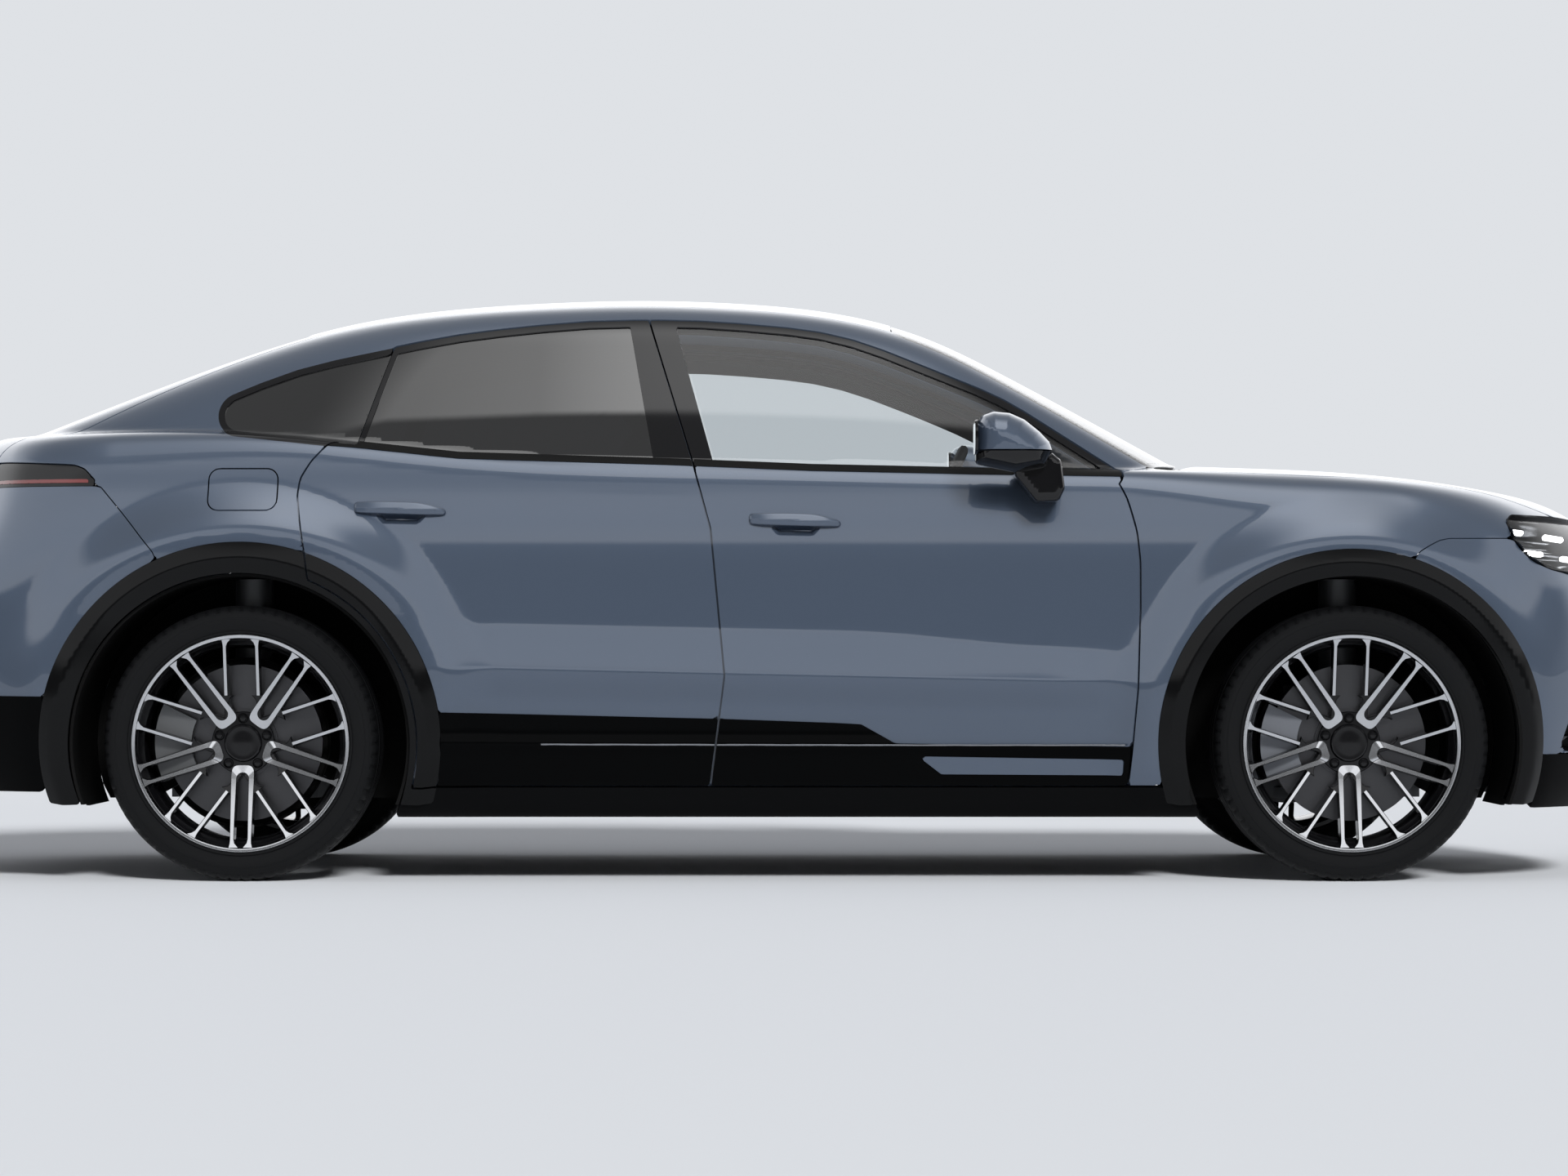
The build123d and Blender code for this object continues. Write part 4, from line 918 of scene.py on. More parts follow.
def build_handles():
    for which, handle in HANDLES.items():
        x, z, half, tall, _ = handle
        y = float(side_width(np.array([x]), np.array([z]))[0]) + 0.008
        for hand in ("right", "left"):
            formed("door_handle_%s_%s" % (which, hand), handle_form(handle), (x, -y, z), (half, 0.016, tall),
                    PAINT, "door_%s_%s" % (which, hand), 60, 40, mirror_too=hand == "left")


def build_shell():
    taken = all_of(outside(DOORS, GAP), outside(HOOD, GAP), outside(SCREEN, 0.002), outside(COWL, 0.001),
                   outside(GATE, GAP), outside(ARCHES))
    fender = all_of(FENDER, outside(FRONT_LINE, 0.003), taken, ahead_of(0.90), PANEL_FOOT,
                    outside(LAMP_AREA, 0.002))
    sides("front_fender", fender, PAINT, "body", replaces="front_fenders", rim=RIM, tidy=largest_patch)
    rest = all_of(outside(FENDER, 0.003), outside(ROOF_ZONE, 0.002), outside(REAR_LINE, 0.003),
                  outside(TAIL_BAND, 0.003), outside(FLAP, 0.004), outside(grow(WINDOW, TRIM)), taken,
                  PANEL_FOOT, behind(1.07))
    sides("body_side", rest, PAINT, "body", replaces="side_frames", rim=RIM)
    trim = all_of(grow(WINDOW, TRIM), outside(QUARTER_GLASS), grow(BAR, -0.0005), outside(DOORS, GAP))
    sides("quarter_trim", trim, GLOSS_BLACK, "body", fine=1, rim=0.03)
    sides("quarter_window", grow(QUARTER_GLASS, 0.003), TINT, "body", replaces="quarter_glass",
          lift=GLASS_SUNK, rim=GLASS_RIM)
    sides("fuel_flap_panel", FLAP, PAINT, "charge_flap", replaces="charge_flap", fine=1, rim=0.010)
    across("roof_skin", ROOF_ZONE, PAINT, "body", replaces="roof_panel", rim=0.012)
    across("hood_skin", HOOD, PAINT, "hood", replaces="hood", rim=0.016)
    across("screen_glass", grow(SCREEN, -0.020), SCREEN_GLASS, "body", replaces="windshield", lift=-0.002,
           rim=GLASS_RIM)
    across("screen_border", all_of(SCREEN, outside(SCREEN, -0.021)), GLOSS_BLACK, "body", lift=-0.002,
           rim=0.006)
    across("cowl_cover", COWL, SATIN, "body", replaces="cowl_panel", lift=-0.010, rim=0.012)
    sill = all_of(lower_than(0.256), higher_than(0.178), outside(FRONT_OPENING), outside(REAR_OPENING),
                  behind(1.30), ahead_of(-1.05), wider_than(0.80))
    sides("sill_trim", sill, SATIN, "body", lift=0.004, rim=RIM)


FRONT_HOLE = all_of(grow(FRONT_DOOR, -0.020), higher_than(0.400))
REAR_HOLE = all_of(grow(REAR_DOOR, -0.020), higher_than(0.400))
HOLES = any_of(FRONT_HOLE, REAR_HOLE)


def build_frames():
    """What shows behind the doors and lids: door frames, gutters, inner faces and the headliner."""
    sides("door_frame", all_of(grow(DOORS, 0.012), outside(HOLES)), PAINT, "body", lift=-0.030, rim=0.040)
    seal = all_of(strip(DOORS, -0.012, -0.006), higher_than(0.30))
    sides("door_seal", seal, SEAL, "body", fine=1, coarse=0.02, lift=-0.026, rim=0.008)
    lining = all_of(grow(DOORS, 0.030), behind(0.80), outside(grow(HOLES, -0.002)))
    sides("pillar_trim", lining, CABIN, "body", lift=-0.078, rim=-0.020, turned=True)
    across("hood_gutter", strip(HOOD, -0.045, 0.010), PAINT, "body", lift=-0.034, rim=0.030)
    across("tailgate_gutter", strip(GATE, -0.045, 0.010), PAINT, "body", lift=-0.040, rim=0.035)
    across("tailgate_seal", strip(GATE, -0.022, -0.014), SEAL, "body", fine=1, coarse=0.02, lift=-0.034,
           rim=0.010)
    across("hood_inner", grow(HOOD, -0.020), DARK, "hood", lift=-0.030, rim=-0.014, turned=True)
    gate_inner = all_of(grow(GATE, -0.024), outside(grow(BACKLIGHT, 0.004)))
    across("tailgate_inner", gate_inner, CABIN, "tailgate", lift=-0.036, rim=-0.018, turned=True)
    across("headliner", grow(ROOF_ZONE, 0.030), HEADLINER, "body", lift=-0.045, rim=-0.010, turned=True)
    sides("flap_pocket", grow(FLAP, 0.003), SATIN, "body", fine=1, lift=-0.050, rim=-0.046)


def arch_lift(axle, lip, outer):
    """A wheel arch trim: a sloping outer facet that meets an upright inner one at a line."""
    def lift(p):
        r = np.hypot(p[:, 0] - axle, p[:, 2] - AXLE_Z)
        t = np.clip((r - lip) / (outer - lip), 0, 1)
        return np.where(t > 0.52, 0.004 + 0.013 * (1 - t) / 0.48, 0.017 - 0.004 * (0.52 - t) / 0.52)
    return lift


def build_arches():
    front = arch_lift(FRONT_X, FRONT_LIP, FRONT_OUTER)
    rear = arch_lift(REAR_X, REAR_LIP, REAR_OUTER)
    reach = all_of(higher_than(0.215), wider_than(0.70))
    on_rear = all_of(grow(REAR_CLAD, -0.001), outside(REAR_OPENING), reach)
    on_front = all_of(grow(FRONT_CLAD, -0.001), outside(FRONT_OPENING), reach)
    sides("arch_trim_front", on_front, ARCH_TRIM, "body", fine=1, lift=front, rim=0.030)
    sides("arch_trim_rear", all_of(on_rear, outside(DOORS, GAP)), ARCH_TRIM, "body", fine=1, lift=rear,
          rim=0.030)
    sides("arch_trim_door", all_of(on_rear, REAR_DOOR), ARCH_TRIM, "door_rear", fine=1, lift=rear, rim=RIM)


REAR_BLACK = open_line([(-3.0, 0.512), (-1.9, 0.503), (-1.0, 0.503)])
FRONT_BLACK = open_line([(1.0, 0.345), (2.05, 0.345), (3.0, 0.345)])


def front_zone(points, radii):
    """A zone of the front from its outline seen from ahead."""
    shape = outline(points, radii)
    return lambda x, a, z: np.maximum(shape(a, z), 2.0 - x)


INTAKES = any_of(front_zone([(-0.52, 0.50), (0.52, 0.50), (0.60, 0.32), (-0.60, 0.32)], 0.03),
                 front_zone([(0.64, 0.56), (0.80, 0.60), (0.84, 0.36), (0.68, 0.32)], 0.025))
SLAT_PITCH = 0.034


def build_ends():
    keep = all_of(outside(GATE, GAP), outside(HOOD, GAP), outside(ARCHES))
    rear = all_of(REAR_LINE, outside(TAIL_BAND, 0.003), behind(-1.4), keep)
    across("rear_bumper_skin", all_of(rear, above(REAR_BLACK)), PAINT, "body", replaces="rear_bumper",
           rim=RIM)
    across("rear_bumper_lower", all_of(rear, below(REAR_BLACK), higher_than(0.245)), CLADDING, "body",
           lift=0.004, rim=RIM)
    front = all_of(FRONT_LINE, outside(HEADLAMP, 0.003), ahead_of(1.6), keep, outside(INTAKES))
    across("front_bumper_skin", all_of(front, above(FRONT_BLACK)), PAINT, "body", replaces="front_bumper",
           rim=0.03)
    across("front_bumper_lower", all_of(front, below(FRONT_BLACK), higher_than(0.20)), CLADDING, "body",
           lift=0.004, rim=0.03)
    across("intake_back", INTAKES, SATIN, "body", lift=-0.055, rim=0.001)
    slats = all_of(INTAKES, lambda x, a, z: np.abs((z - 0.30) % SLAT_PITCH - SLAT_PITCH / 2) - 0.005)
    across("intake_slats", slats, GLOSS_BLACK, "body", lift=-0.016, rim=0.03)


LIGHT_BARS = [
    ((2.016, 0.969), (2.076, 0.963), (2.074, 0.951), (2.024, 0.956)),
    ((2.140, 0.955), (2.205, 0.948), (2.205, 0.936), (2.140, 0.942)),
    ((2.058, 0.909), (2.130, 0.902), (2.132, 0.889), (2.072, 0.893)),
    ((2.190, 0.893), (2.255, 0.886), (2.255, 0.873), (2.190, 0.880)),
]


def build_lamps():
    sides("headlamp_lens", HEADLAMP, LENS, "body", replaces="headlamps", fine=1, lift=-0.001, rim=0.004)
    sides("headlamp_bowl", HEADLAMP, LAMP_SILVER, "body", fine=1, lift=lamp_bowl, rim=-0.02)
    sides("headlamp_seal", strip(HEADLAMP, -0.007, 0.001), GLOSS_BLACK, "body", fine=1, rim=0.012)
    for i, points in enumerate(LIGHT_BARS):
        zone = all_of(side_zone(outline(points, 0.004)), wider_than(0.40))
        sides("light_bar_%d" % (i + 1), zone, LAMP_WHITE, "body", fine=2, coarse=0.02, lift=-0.010, rim=0.008)
    band = all_of(TAIL_BAND, behind(-1.5), outside(GATE, GAP))
    sides("tail_lamp", band, GLOSS_BLACK, "body", replaces="tail_lamps", lift=-0.004, rim=RIM)
    line = all_of(TAIL_BAND, higher_than(1.088), lower_than(1.098), behind(-1.86), outside(GATE, GAP))
    sides("tail_light_line", line, RED_LENS, "body", fine=1, lift=-0.002, rim=0.006)
    gate_band = all_of(grow(GATE, -0.002), higher_than(1.072), lower_than(1.140), behind(-1.9))
    across("gate_light_bar", gate_band, GLOSS_BLACK, "tailgate", replaces="tailgate_lamp", lift=-0.004,
           rim=RIM)
    gate_line = all_of(gate_band, higher_than(1.088), lower_than(1.100))
    across("gate_light_line", gate_line, RED_LENS, "tailgate", fine=1, lift=-0.002, rim=0.006)
    across("tailgate_skin", all_of(GATE, outside(BACKLIGHT), outside(gate_band, 0.002)), PAINT, "tailgate",
           replaces="tailgate", rim=RIM)
    across("backlight", grow(BACKLIGHT, 0.003), TINT, "tailgate", replaces="tailgate_glass", lift=-0.003,
           rim=0.005)


def lamp_bowl(p):
    """A dished reflector with fine ribs across it."""
    d = -HEADLAMP(p[:, 0], np.abs(p[:, 1]), p[:, 2])
    return -0.014 - 0.030 * ease(d, 0.0, 0.035) + 0.006 * np.sin(p[:, 2] * 160)


class Kit:
    """The points and faces of one piece. A tone is the number of a face's material."""

    def __init__(self):
        self.points = []
        self.faces = []
        self.tones = []

    def add(self, points, faces, tone):
        base = len(self.points)
        self.points += [tuple(p) for p in points]
        for i, face in enumerate(faces):
            self.faces.append(tuple(base + k for k in face))
            self.tones.append(tone[i] if hasattr(tone, "__len__") else tone)

    def rings(self, rings, tone, closed=False, ends=False):
        """A skin through rings of equally many points. tone is one number, or one for each strip along it."""
        count = len(rings[0])
        faces, tones = [], []
        for i in range(len(rings) - 1):
            for j in range(count if closed else count - 1):
                k = (j + 1) % count
                faces.append((i * count + j, i * count + k, (i + 1) * count + k, (i + 1) * count + j))
                tones.append(tone[j] if hasattr(tone, "__len__") else tone)
        if ends:
            faces.append(tuple(range(count))[::-1])
            faces.append(tuple((len(rings) - 1) * count + j for j in range(count)))
            tones += [tones[0], tones[-1]]
        self.add([p for ring in rings for p in ring], faces, tones)

    def spin(self, profile, tone, steps=120):
        """A profile of (distance outwards, radius) turned about the wheel's axle."""
        rings = []
        for i in range(steps + 1):
            a = 2 * math.pi * i / steps
            rings.append([(r * math.cos(a), -out, r * math.sin(a)) for out, r in profile])
        self.rings(rings, tone)

    def make(self, name, materials, body, place=(0, 0, 0), left=False, angle=0.6, weld=0.00005):
        """The piece as an object. left makes the mirror image, for the vehicle's left-hand side."""
        mesh = bpy.data.meshes.new(name)
        mesh.from_pydata(self.points, [], self.faces)
        mesh.polygons.foreach_set("material_index", self.tones)
        bm = bmesh.new()
        bm.from_mesh(mesh)
        bmesh.ops.remove_doubles(bm, verts=bm.verts, dist=weld)
        bmesh.ops.recalc_face_normals(bm, faces=bm.faces)
        if left:
            bmesh.ops.transform(bm, matrix=Matrix.Scale(-1, 4, (0, 1, 0)), verts=bm.verts)
            bmesh.ops.reverse_faces(bm, faces=bm.faces)
        x, y, z = place
        bmesh.ops.translate(bm, vec=(x, -y if left else y, z), verts=bm.verts)
        bm.to_mesh(mesh)
        bm.free()
        for material in materials:
            mesh.materials.append(material)
        mesh.polygons.foreach_set("use_smooth", [True] * len(mesh.polygons))
        mesh.set_sharp_from_angle(angle=angle)
        obj = placed(name, mesh)
        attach(obj, body)
        return obj


# Wheels, drawn about the origin with the outer face towards -Y. Tone 0 is black and tone 1 machined.
LIP_RADIUS = 0.297
LIP_OUT = 0.128
HUB_OUT = 0.054
BLADE_DEEP = 0.034
PAIRS = 5
NARROW_ASIDE = 0.024
WIDE_ASIDE = 0.044
WIDE_BLACK_TO = 0.130


def wheel_point(angle, r, aside, out):
    c, s = math.cos(angle), math.sin(angle)
    return (r * c - aside * s, -out, r * s + aside * c)


def spoke_out(r):
    """How far out a spoke's face stands: sunk at the hub, and rising in a light curve to the lip."""
    t = min(max((r - 0.075) / 0.205, 0), 1)
    return HUB_OUT + 0.004 + (LIP_OUT - HUB_OUT - 0.006) * t ** 0.88


def blade_rings(angle, aside, start, end, wide_in, wide_out, foot_side):
    """A spoke blade as rings of points: a flat machined face over black flanks that lean outwards."""
    rings = []
    steps = 16
    for i in range(steps + 1):
        r = start + (end - start) * i / steps
        t = (r - start) / (end - start)
        half = (wide_in + (wide_out - wide_in) * t) / 2
        fillet = 0.013 * max(0.0, (r - end + 0.022) / 0.022) ** 2
        left = half + (fillet if foot_side <= 0 else 0.3 * fillet)
        right = half + (fillet if foot_side >= 0 else 0.3 * fillet)
        out = spoke_out(r)
        edge, lean = 0.0012, 0.004
        rings.append([wheel_point(angle, r, aside + v, out - d) for v,
                      d in ((-left, 0.0), (right, 0.0), (right + edge, edge), (right + lean, BLADE_DEEP),
                            (-left - lean, BLADE_DEEP), (-left - edge, edge))])
    return rings


def pad_rings(angle):
    """The U-shaped foot that joins the two ridges of a narrow pair round the end of their slot."""
    centre, slot, reach, half = 0.0975, 0.0175, 0.0365, 0.0305
    inner, inner_low, outer, outer_low = [], [], [], []
    for i in range(25):
        a = math.pi * (i / 24 - 0.5)
        c, s = math.cos(a), math.sin(a)
        r0, v0 = centre - slot * c, slot * s
        r1 = centre - reach * abs(c) ** 0.5
        v1 = half * math.copysign(abs(s) ** 0.5, s)
        inner.append(wheel_point(angle, r0, v0, spoke_out(r0)))
        inner_low.append(wheel_point(angle, r0, v0, spoke_out(r0) - BLADE_DEEP))
        outer.append(wheel_point(angle, r1, v1, spoke_out(r1)))
        outer_low.append(wheel_point(angle, r1, v1 * 1.06, spoke_out(r1) - 0.012))
    return [list(row) for row in zip(outer_low, outer, inner, inner_low)]


# A wheel bolt's seat and head: radius, distance outwards and corners, where 24 stands for round
BOLT_SECTION = [(0.0145, 0.0505, 24), (0.0140, 0.0530, 24), (0.0125, 0.0545, 24), (0.0115, 0.0515, 24),
                (0.0100, 0.0510, 6), (0.0100, 0.0580, 6), (0.0086, 0.0595, 6), (0.0, 0.0600, 6)]


def bolt_rings(angle):
    """A sunk wheel bolt: a conical seat and a six-sided head."""
    x, _, z = wheel_point(angle, 0.068, 0, 0)
    rings = []
    for r, out, corners in BOLT_SECTION:
        ring = []
        for k in range(24):
            a = 2 * math.pi * k / 24
            if corners == 6:
                sector = (a % (math.pi / 3)) - math.pi / 6
                rr = r * math.cos(math.pi / 6) / math.cos(sector)
            else:
                rr = r
            ring.append((x + rr * math.cos(a), -out, z + rr * math.sin(a)))
        rings.append(ring)
    return rings


def build_wheels():
    kit = Kit()
    inner_end = LIP_RADIUS - 0.0135
    kit.spin([(0.1180, 0.2825), (0.1255, 0.2855), (0.1275, 0.2870), (0.1280, 0.2885)], 1)
    kit.spin([(0.1280, 0.2885), (0.1280, 0.2955), (0.1265, 0.2970), (0.1220, 0.2970)], 1)
    kit.spin([(0.1220, 0.2970), (0.1150, 0.2800), (-0.1150, 0.2800), (-0.1220, 0.2970), (-0.1280, 0.2970),
              (-0.1280, 0.2860), (-0.1150, 0.2740), (-0.0900, 0.2660), (0.0350, 0.2600), (0.0800, 0.2660),
              (0.1050, 0.2740), (0.1180, 0.2825)], 0)
    kit.spin([(0.0200, 0.0), (0.0200, 0.0780), (0.0240, 0.0840), (0.0480, 0.0860), (0.0510, 0.0840),
              (0.0515, 0.0520), (0.0540, 0.0500), (0.0600, 0.0495), (0.0615, 0.0480), (0.0620, 0.0440),
              (0.0612, 0.0400), (0.0640, 0.0200), (0.0650, 0.0)], 0, 72)
    face_tones = [1, 0, 0, 0, 0, 0]
    for i in range(PAIRS):
        narrow = math.radians(270 + 72 * i)
        wide = math.radians(90 + 72 * i)
        kit.rings(pad_rings(narrow), [0, 1, 0])
        kit.rings(bolt_rings(wide), 0, closed=True)
        for hand in (-1, 1):
            kit.rings(blade_rings(narrow, hand * NARROW_ASIDE, 0.0972, inner_end, 0.013, 0.0075, -hand),
                      face_tones, closed=True)
            kit.rings(blade_rings(wide, hand * WIDE_ASIDE, 0.050, WIDE_BLACK_TO, 0.010, 0.008, 0), 0,
                      closed=True)
            kit.rings(blade_rings(wide, hand * WIDE_ASIDE, WIDE_BLACK_TO, inner_end, 0.008, 0.0075, -hand),
                      face_tones, closed=True)
    tyre = tyre_kit()
    for end, x in (("front", FRONT_X), ("rear", REAR_X)):
        for hand in ("right", "left"):
            body = "wheel_%s_%s" % (end, hand)
            place = (x, -WHEEL_Y, AXLE_Z)
            rim = kit.make("alloy_wheel_%s_%s" % (end, hand), [RIM_BLACK, ALLOY], body, place,
                           hand == "left", 0.5)
            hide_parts("rim_%s_%s" % (end, hand))
            rubber = tyre.make("road_tyre_%s_%s" % (end, hand), [RUBBER], body, place, hand == "left", 0.5)
            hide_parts("tyre_%s_%s" % (end, hand))


# A splash shield's section, from its inner edge round the rim and back: distance outwards and radius
SHIELD_SECTION = [(-0.030, 0.145), (-0.030, 0.205), (-0.022, 0.225), (-0.008, 0.2315), (-0.010, 0.2335),
                  (-0.025, 0.2275), (-0.032, 0.207), (-0.032, 0.145)]
SHIELD_TURN = math.radians(148)
SHIELD_STEPS = 72
CURTAIN_RADIUS = 0.452
CURTAIN_FOOT = 0.215
CURTAIN_Y = -0.4895


def build_undertray():
    """Splash shields behind the brake discs and curtains across the inner side of the wheel arches."""
    for end, x, cut in (("front", FRONT_X, 0.045), ("rear", REAR_X, 0.0)):
        shield = Kit()
        rings = []
        for i in range(SHIELD_STEPS + 1):
            a = SHIELD_TURN * (2 * i / SHIELD_STEPS - 1)
            rings.append([((r - cut) * math.cos(a), -out, (r - cut) * math.sin(a)) for out,
                          r in SHIELD_SECTION])
        shield.rings(rings, 0)
        for hand in ("right", "left"):
            body = "knuckle_front_" + hand if end == "front" else "body"
            shield.make("splash_shield_%s_%s" % (end, hand), [DARK], body, (x, -WHEEL_Y, AXLE_Z),
                        hand == "left")
    for name, x in (("front", FRONT_X), ("rear", REAR_X)):
        curtain = Kit()
        rings = []
        for i in range(33):
            a = math.pi * (-0.17 + 1.34 * i / 32)
            edge_x, edge_z = CURTAIN_RADIUS * math.cos(a), AXLE_Z + CURTAIN_RADIUS * math.sin(a)
            ring = []
            for k in range(9):
                t = k / 8
                px = x + edge_x * t
                pz = max(CURTAIN_FOOT, 0.40 + (edge_z - 0.40) * t)
                ring.append((px, CURTAIN_Y - 0.006 * math.cos(60 * px) * t, pz))
            rings.append(ring)
        curtain.rings(rings, 0)
        for hand in ("right", "left"):
            curtain.make("arch_curtain_%s_%s" % (name, hand), [DARK], "body", left=hand == "left")


TREAD_BLOCKS = 72
# Half of the tyre's section from the bead to the middle of the tread: distance outwards and radius
TYRE_SECTION = [(0.1150, 0.2810), (0.1215, 0.2972), (0.1290, 0.2985), (0.1325, 0.3010), (0.1325, 0.3045),
                (0.1290, 0.3070), (0.1300, 0.3110), (0.1330, 0.3200), (0.1350, 0.3300), (0.1355, 0.3380),
                (0.1350, 0.3400), (0.1340, 0.3405), (0.1335, 0.3450), (0.1310, 0.3520), (0.1270, 0.3580),
                (0.1265, 0.3590), (0.1220, 0.3640), (0.1150, 0.3690), (0.1060, 0.3722), (0.0960, 0.3735),
                (0.0850, 0.3745), (0.0840, 0.3670), (0.0750, 0.3670), (0.0740, 0.3750), (0.0560, 0.3755),
                (0.0400, 0.3757), (0.0300, 0.3758), (0.0290, 0.3680), (0.0190, 0.3680), (0.0180, 0.3758),
                (0.0, 0.3758)]


def tyre_kit():
    """The tyre with its grooves round the tread and across its shoulders."""
    kit = Kit()
    section = TYRE_SECTION + [(-out, r) for out, r in reversed(TYRE_SECTION[:-1])]
    steps = TREAD_BLOCKS * 4
    rings = []
    for i in range(steps + 1):
        part = i % steps
        a = 2 * math.pi * part / steps
        in_groove = part % (steps // TREAD_BLOCKS) == 0
        ring = []
        for out, r in section:
            shoulder = 0.086 < abs(out) < 0.1268 and r > 0.3585
            rr = r - (0.0045 if in_groove and shoulder else 0)
            ring.append((rr * math.cos(a), -out, rr * math.sin(a)))
        rings.append(ring)
    kit.rings(rings, 0)
    return kit


# Mirrors
MIRROR_CAP = outline([(0.557, 1.130), (0.556, 1.235), (0.575, 1.262), (0.605, 1.2725), (0.650, 1.268),
                      (0.690, 1.250), (0.730, 1.218), (0.757, 1.190), (0.766, 1.165), (0.745, 1.122),
                      (0.665, 1.108)], 0.012)
MIRROR_FOOT = outline([(0.665, 1.100), (0.724, 1.028), (0.784, 1.031), (0.801, 1.066), (0.791, 1.142),
                       (0.765, 1.164), (0.660, 1.150)], 0.012)
MIRROR_MIDDLE = 1.0850
MIRROR_HALF = 0.0960
MIRROR_ROUND = 0.075
MIRROR_PAINT_LOW = 1.166
MIRROR_Z = 1.203


def mirror_housing(x, y, z):
    """A dome over the cap's outline in side view."""
    a = np.abs(y)
    depth = np.clip(-MIRROR_CAP(x, z), 0, MIRROR_ROUND) / MIRROR_ROUND
    half = MIRROR_HALF * np.sqrt(np.maximum(1 - (1 - depth) ** 2, 0)) - 0.001
    return np.abs(a - MIRROR_MIDDLE) - half + np.maximum(MIRROR_CAP(x, z), 0)


def mirror_arm(x, y, z):
    a = np.abs(y)
    return smooth_max(MIRROR_FOOT(x, z), np.abs(a - 0.985) - 0.085, 0.02)


def build_mirrors():
    for hand in ("right", "left"):
        body = "door_front_" + hand
        side = -1 if hand == "right" else 1
        centre, reach = (0.655, -MIRROR_MIDDLE, 1.195), (0.12, 0.11, 0.09)
        parts = (("cap", PAINT, lambda x, y, z: MIRROR_PAINT_LOW + 0.002 - z),
                 ("shell", GLOSS_BLACK, lambda x, y, z: z - MIRROR_PAINT_LOW + 0.002))
        for part, material, cut in parts:
            piece = formed("mirror_%s_%s" % (part, hand), mirror_housing, centre, reach, material, body, 56,
                           72, cut=cut, mirror_too=side > 0)
            if part == "cap":
                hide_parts("mirror_" + hand)
        formed("mirror_arm_" + hand, mirror_arm, (0.745, -0.985, 1.10), (0.08, 0.09, 0.08), GLOSS_BLACK,
               body, 36, 48, mirror_too=side > 0)
        glass_kit = Kit()
        rim, face = [], []
        for i in range(48):
            a = 2 * math.pi * i / 48
            c, s = math.cos(a), math.sin(a)
            y = -MIRROR_MIDDLE + 0.078 * math.copysign(abs(c) ** 0.6, c)
            z = MIRROR_Z + 0.048 * math.copysign(abs(s) ** 0.6, s)
            rim.append((0.562, y, z))
            y, z = (y + MIRROR_MIDDLE) * 0.97 - MIRROR_MIDDLE, (z - MIRROR_Z) * 0.97 + MIRROR_Z
            face.append((0.5545, y, z))
        glass_kit.rings([rim, face], 0, closed=True)
        glass_kit.add(face, [tuple(range(48))], 1)
        glass_kit.make("mirror_glass_" + hand, [GLOSS_BLACK, MIRROR_FACE], body, (0, 0, 0), side > 0, 0.5)


# Cabin
def side_lump(points, radius, y_mid, half, round_out=0.05, crown=0.0):
    """A padded form from a side view outline: closed, with rounded edges and a crowned face."""
    shape = outline(points, radius)

    def value(x, y, z):
        d = np.abs(y - y_mid) / half
        return smooth_max(shape(x, z) + crown * d ** 2, np.abs(y - y_mid) - half, round_out)
    return value


# Name, side view outline, corner radius, centre of the rays and their reach
SEAT_FORMS = [("cushion", [(-0.190, 0.500), (0.300, 0.540), (0.325, 0.600), (0.290, 0.668), (0.050, 0.655),
                           (-0.150, 0.640)], 0.045, (0.06, 0.595), (0.30, 0.11)),
              ("back", [(-0.120, 0.640), (-0.215, 0.600), (-0.300, 0.640), (-0.425, 1.150), (-0.400, 1.240),
                        (-0.335, 1.235), (-0.245, 0.950)], 0.040, (-0.270, 0.900), (0.20, 0.36)),
              ("head_rest", [(-0.410, 1.270), (-0.345, 1.262), (-0.330, 1.340), (-0.352, 1.420),
                             (-0.405, 1.428), (-0.428, 1.350)], 0.030, (-0.378, 1.345), (0.06, 0.10)), ]


SEAT_BASE = [(-0.200, 0.3503), (-0.180, 0.505), (0.270, 0.545), (0.290, 0.3503)]
REAR_FORMS = [("cushion", [(-0.940, 0.450), (-0.470, 0.430), (-0.425, 0.520), (-0.435, 0.610),
                           (-0.500, 0.640), (-0.930, 0.610)], 0.050, (-0.690, 0.53), (0.28, 0.11)),
              ("back", [(-0.955, 0.640), (-0.840, 0.650), (-0.900, 0.900), (-1.065, 1.170), (-1.110, 1.195),
                        (-1.150, 1.170), (-1.010, 0.790)], 0.040, (-0.985, 0.900), (0.15, 0.32)), ]
# Half widths, and how far the seats' middles are from the centre plane
SEAT_Y, REAR_Y = 0.415, 0.40
SEAT_HALF, HEAD_HALF, BASE_HALF = 0.250, 0.130, 0.21
REAR_HALF, MIDDLE_HALF = 0.272, 0.126


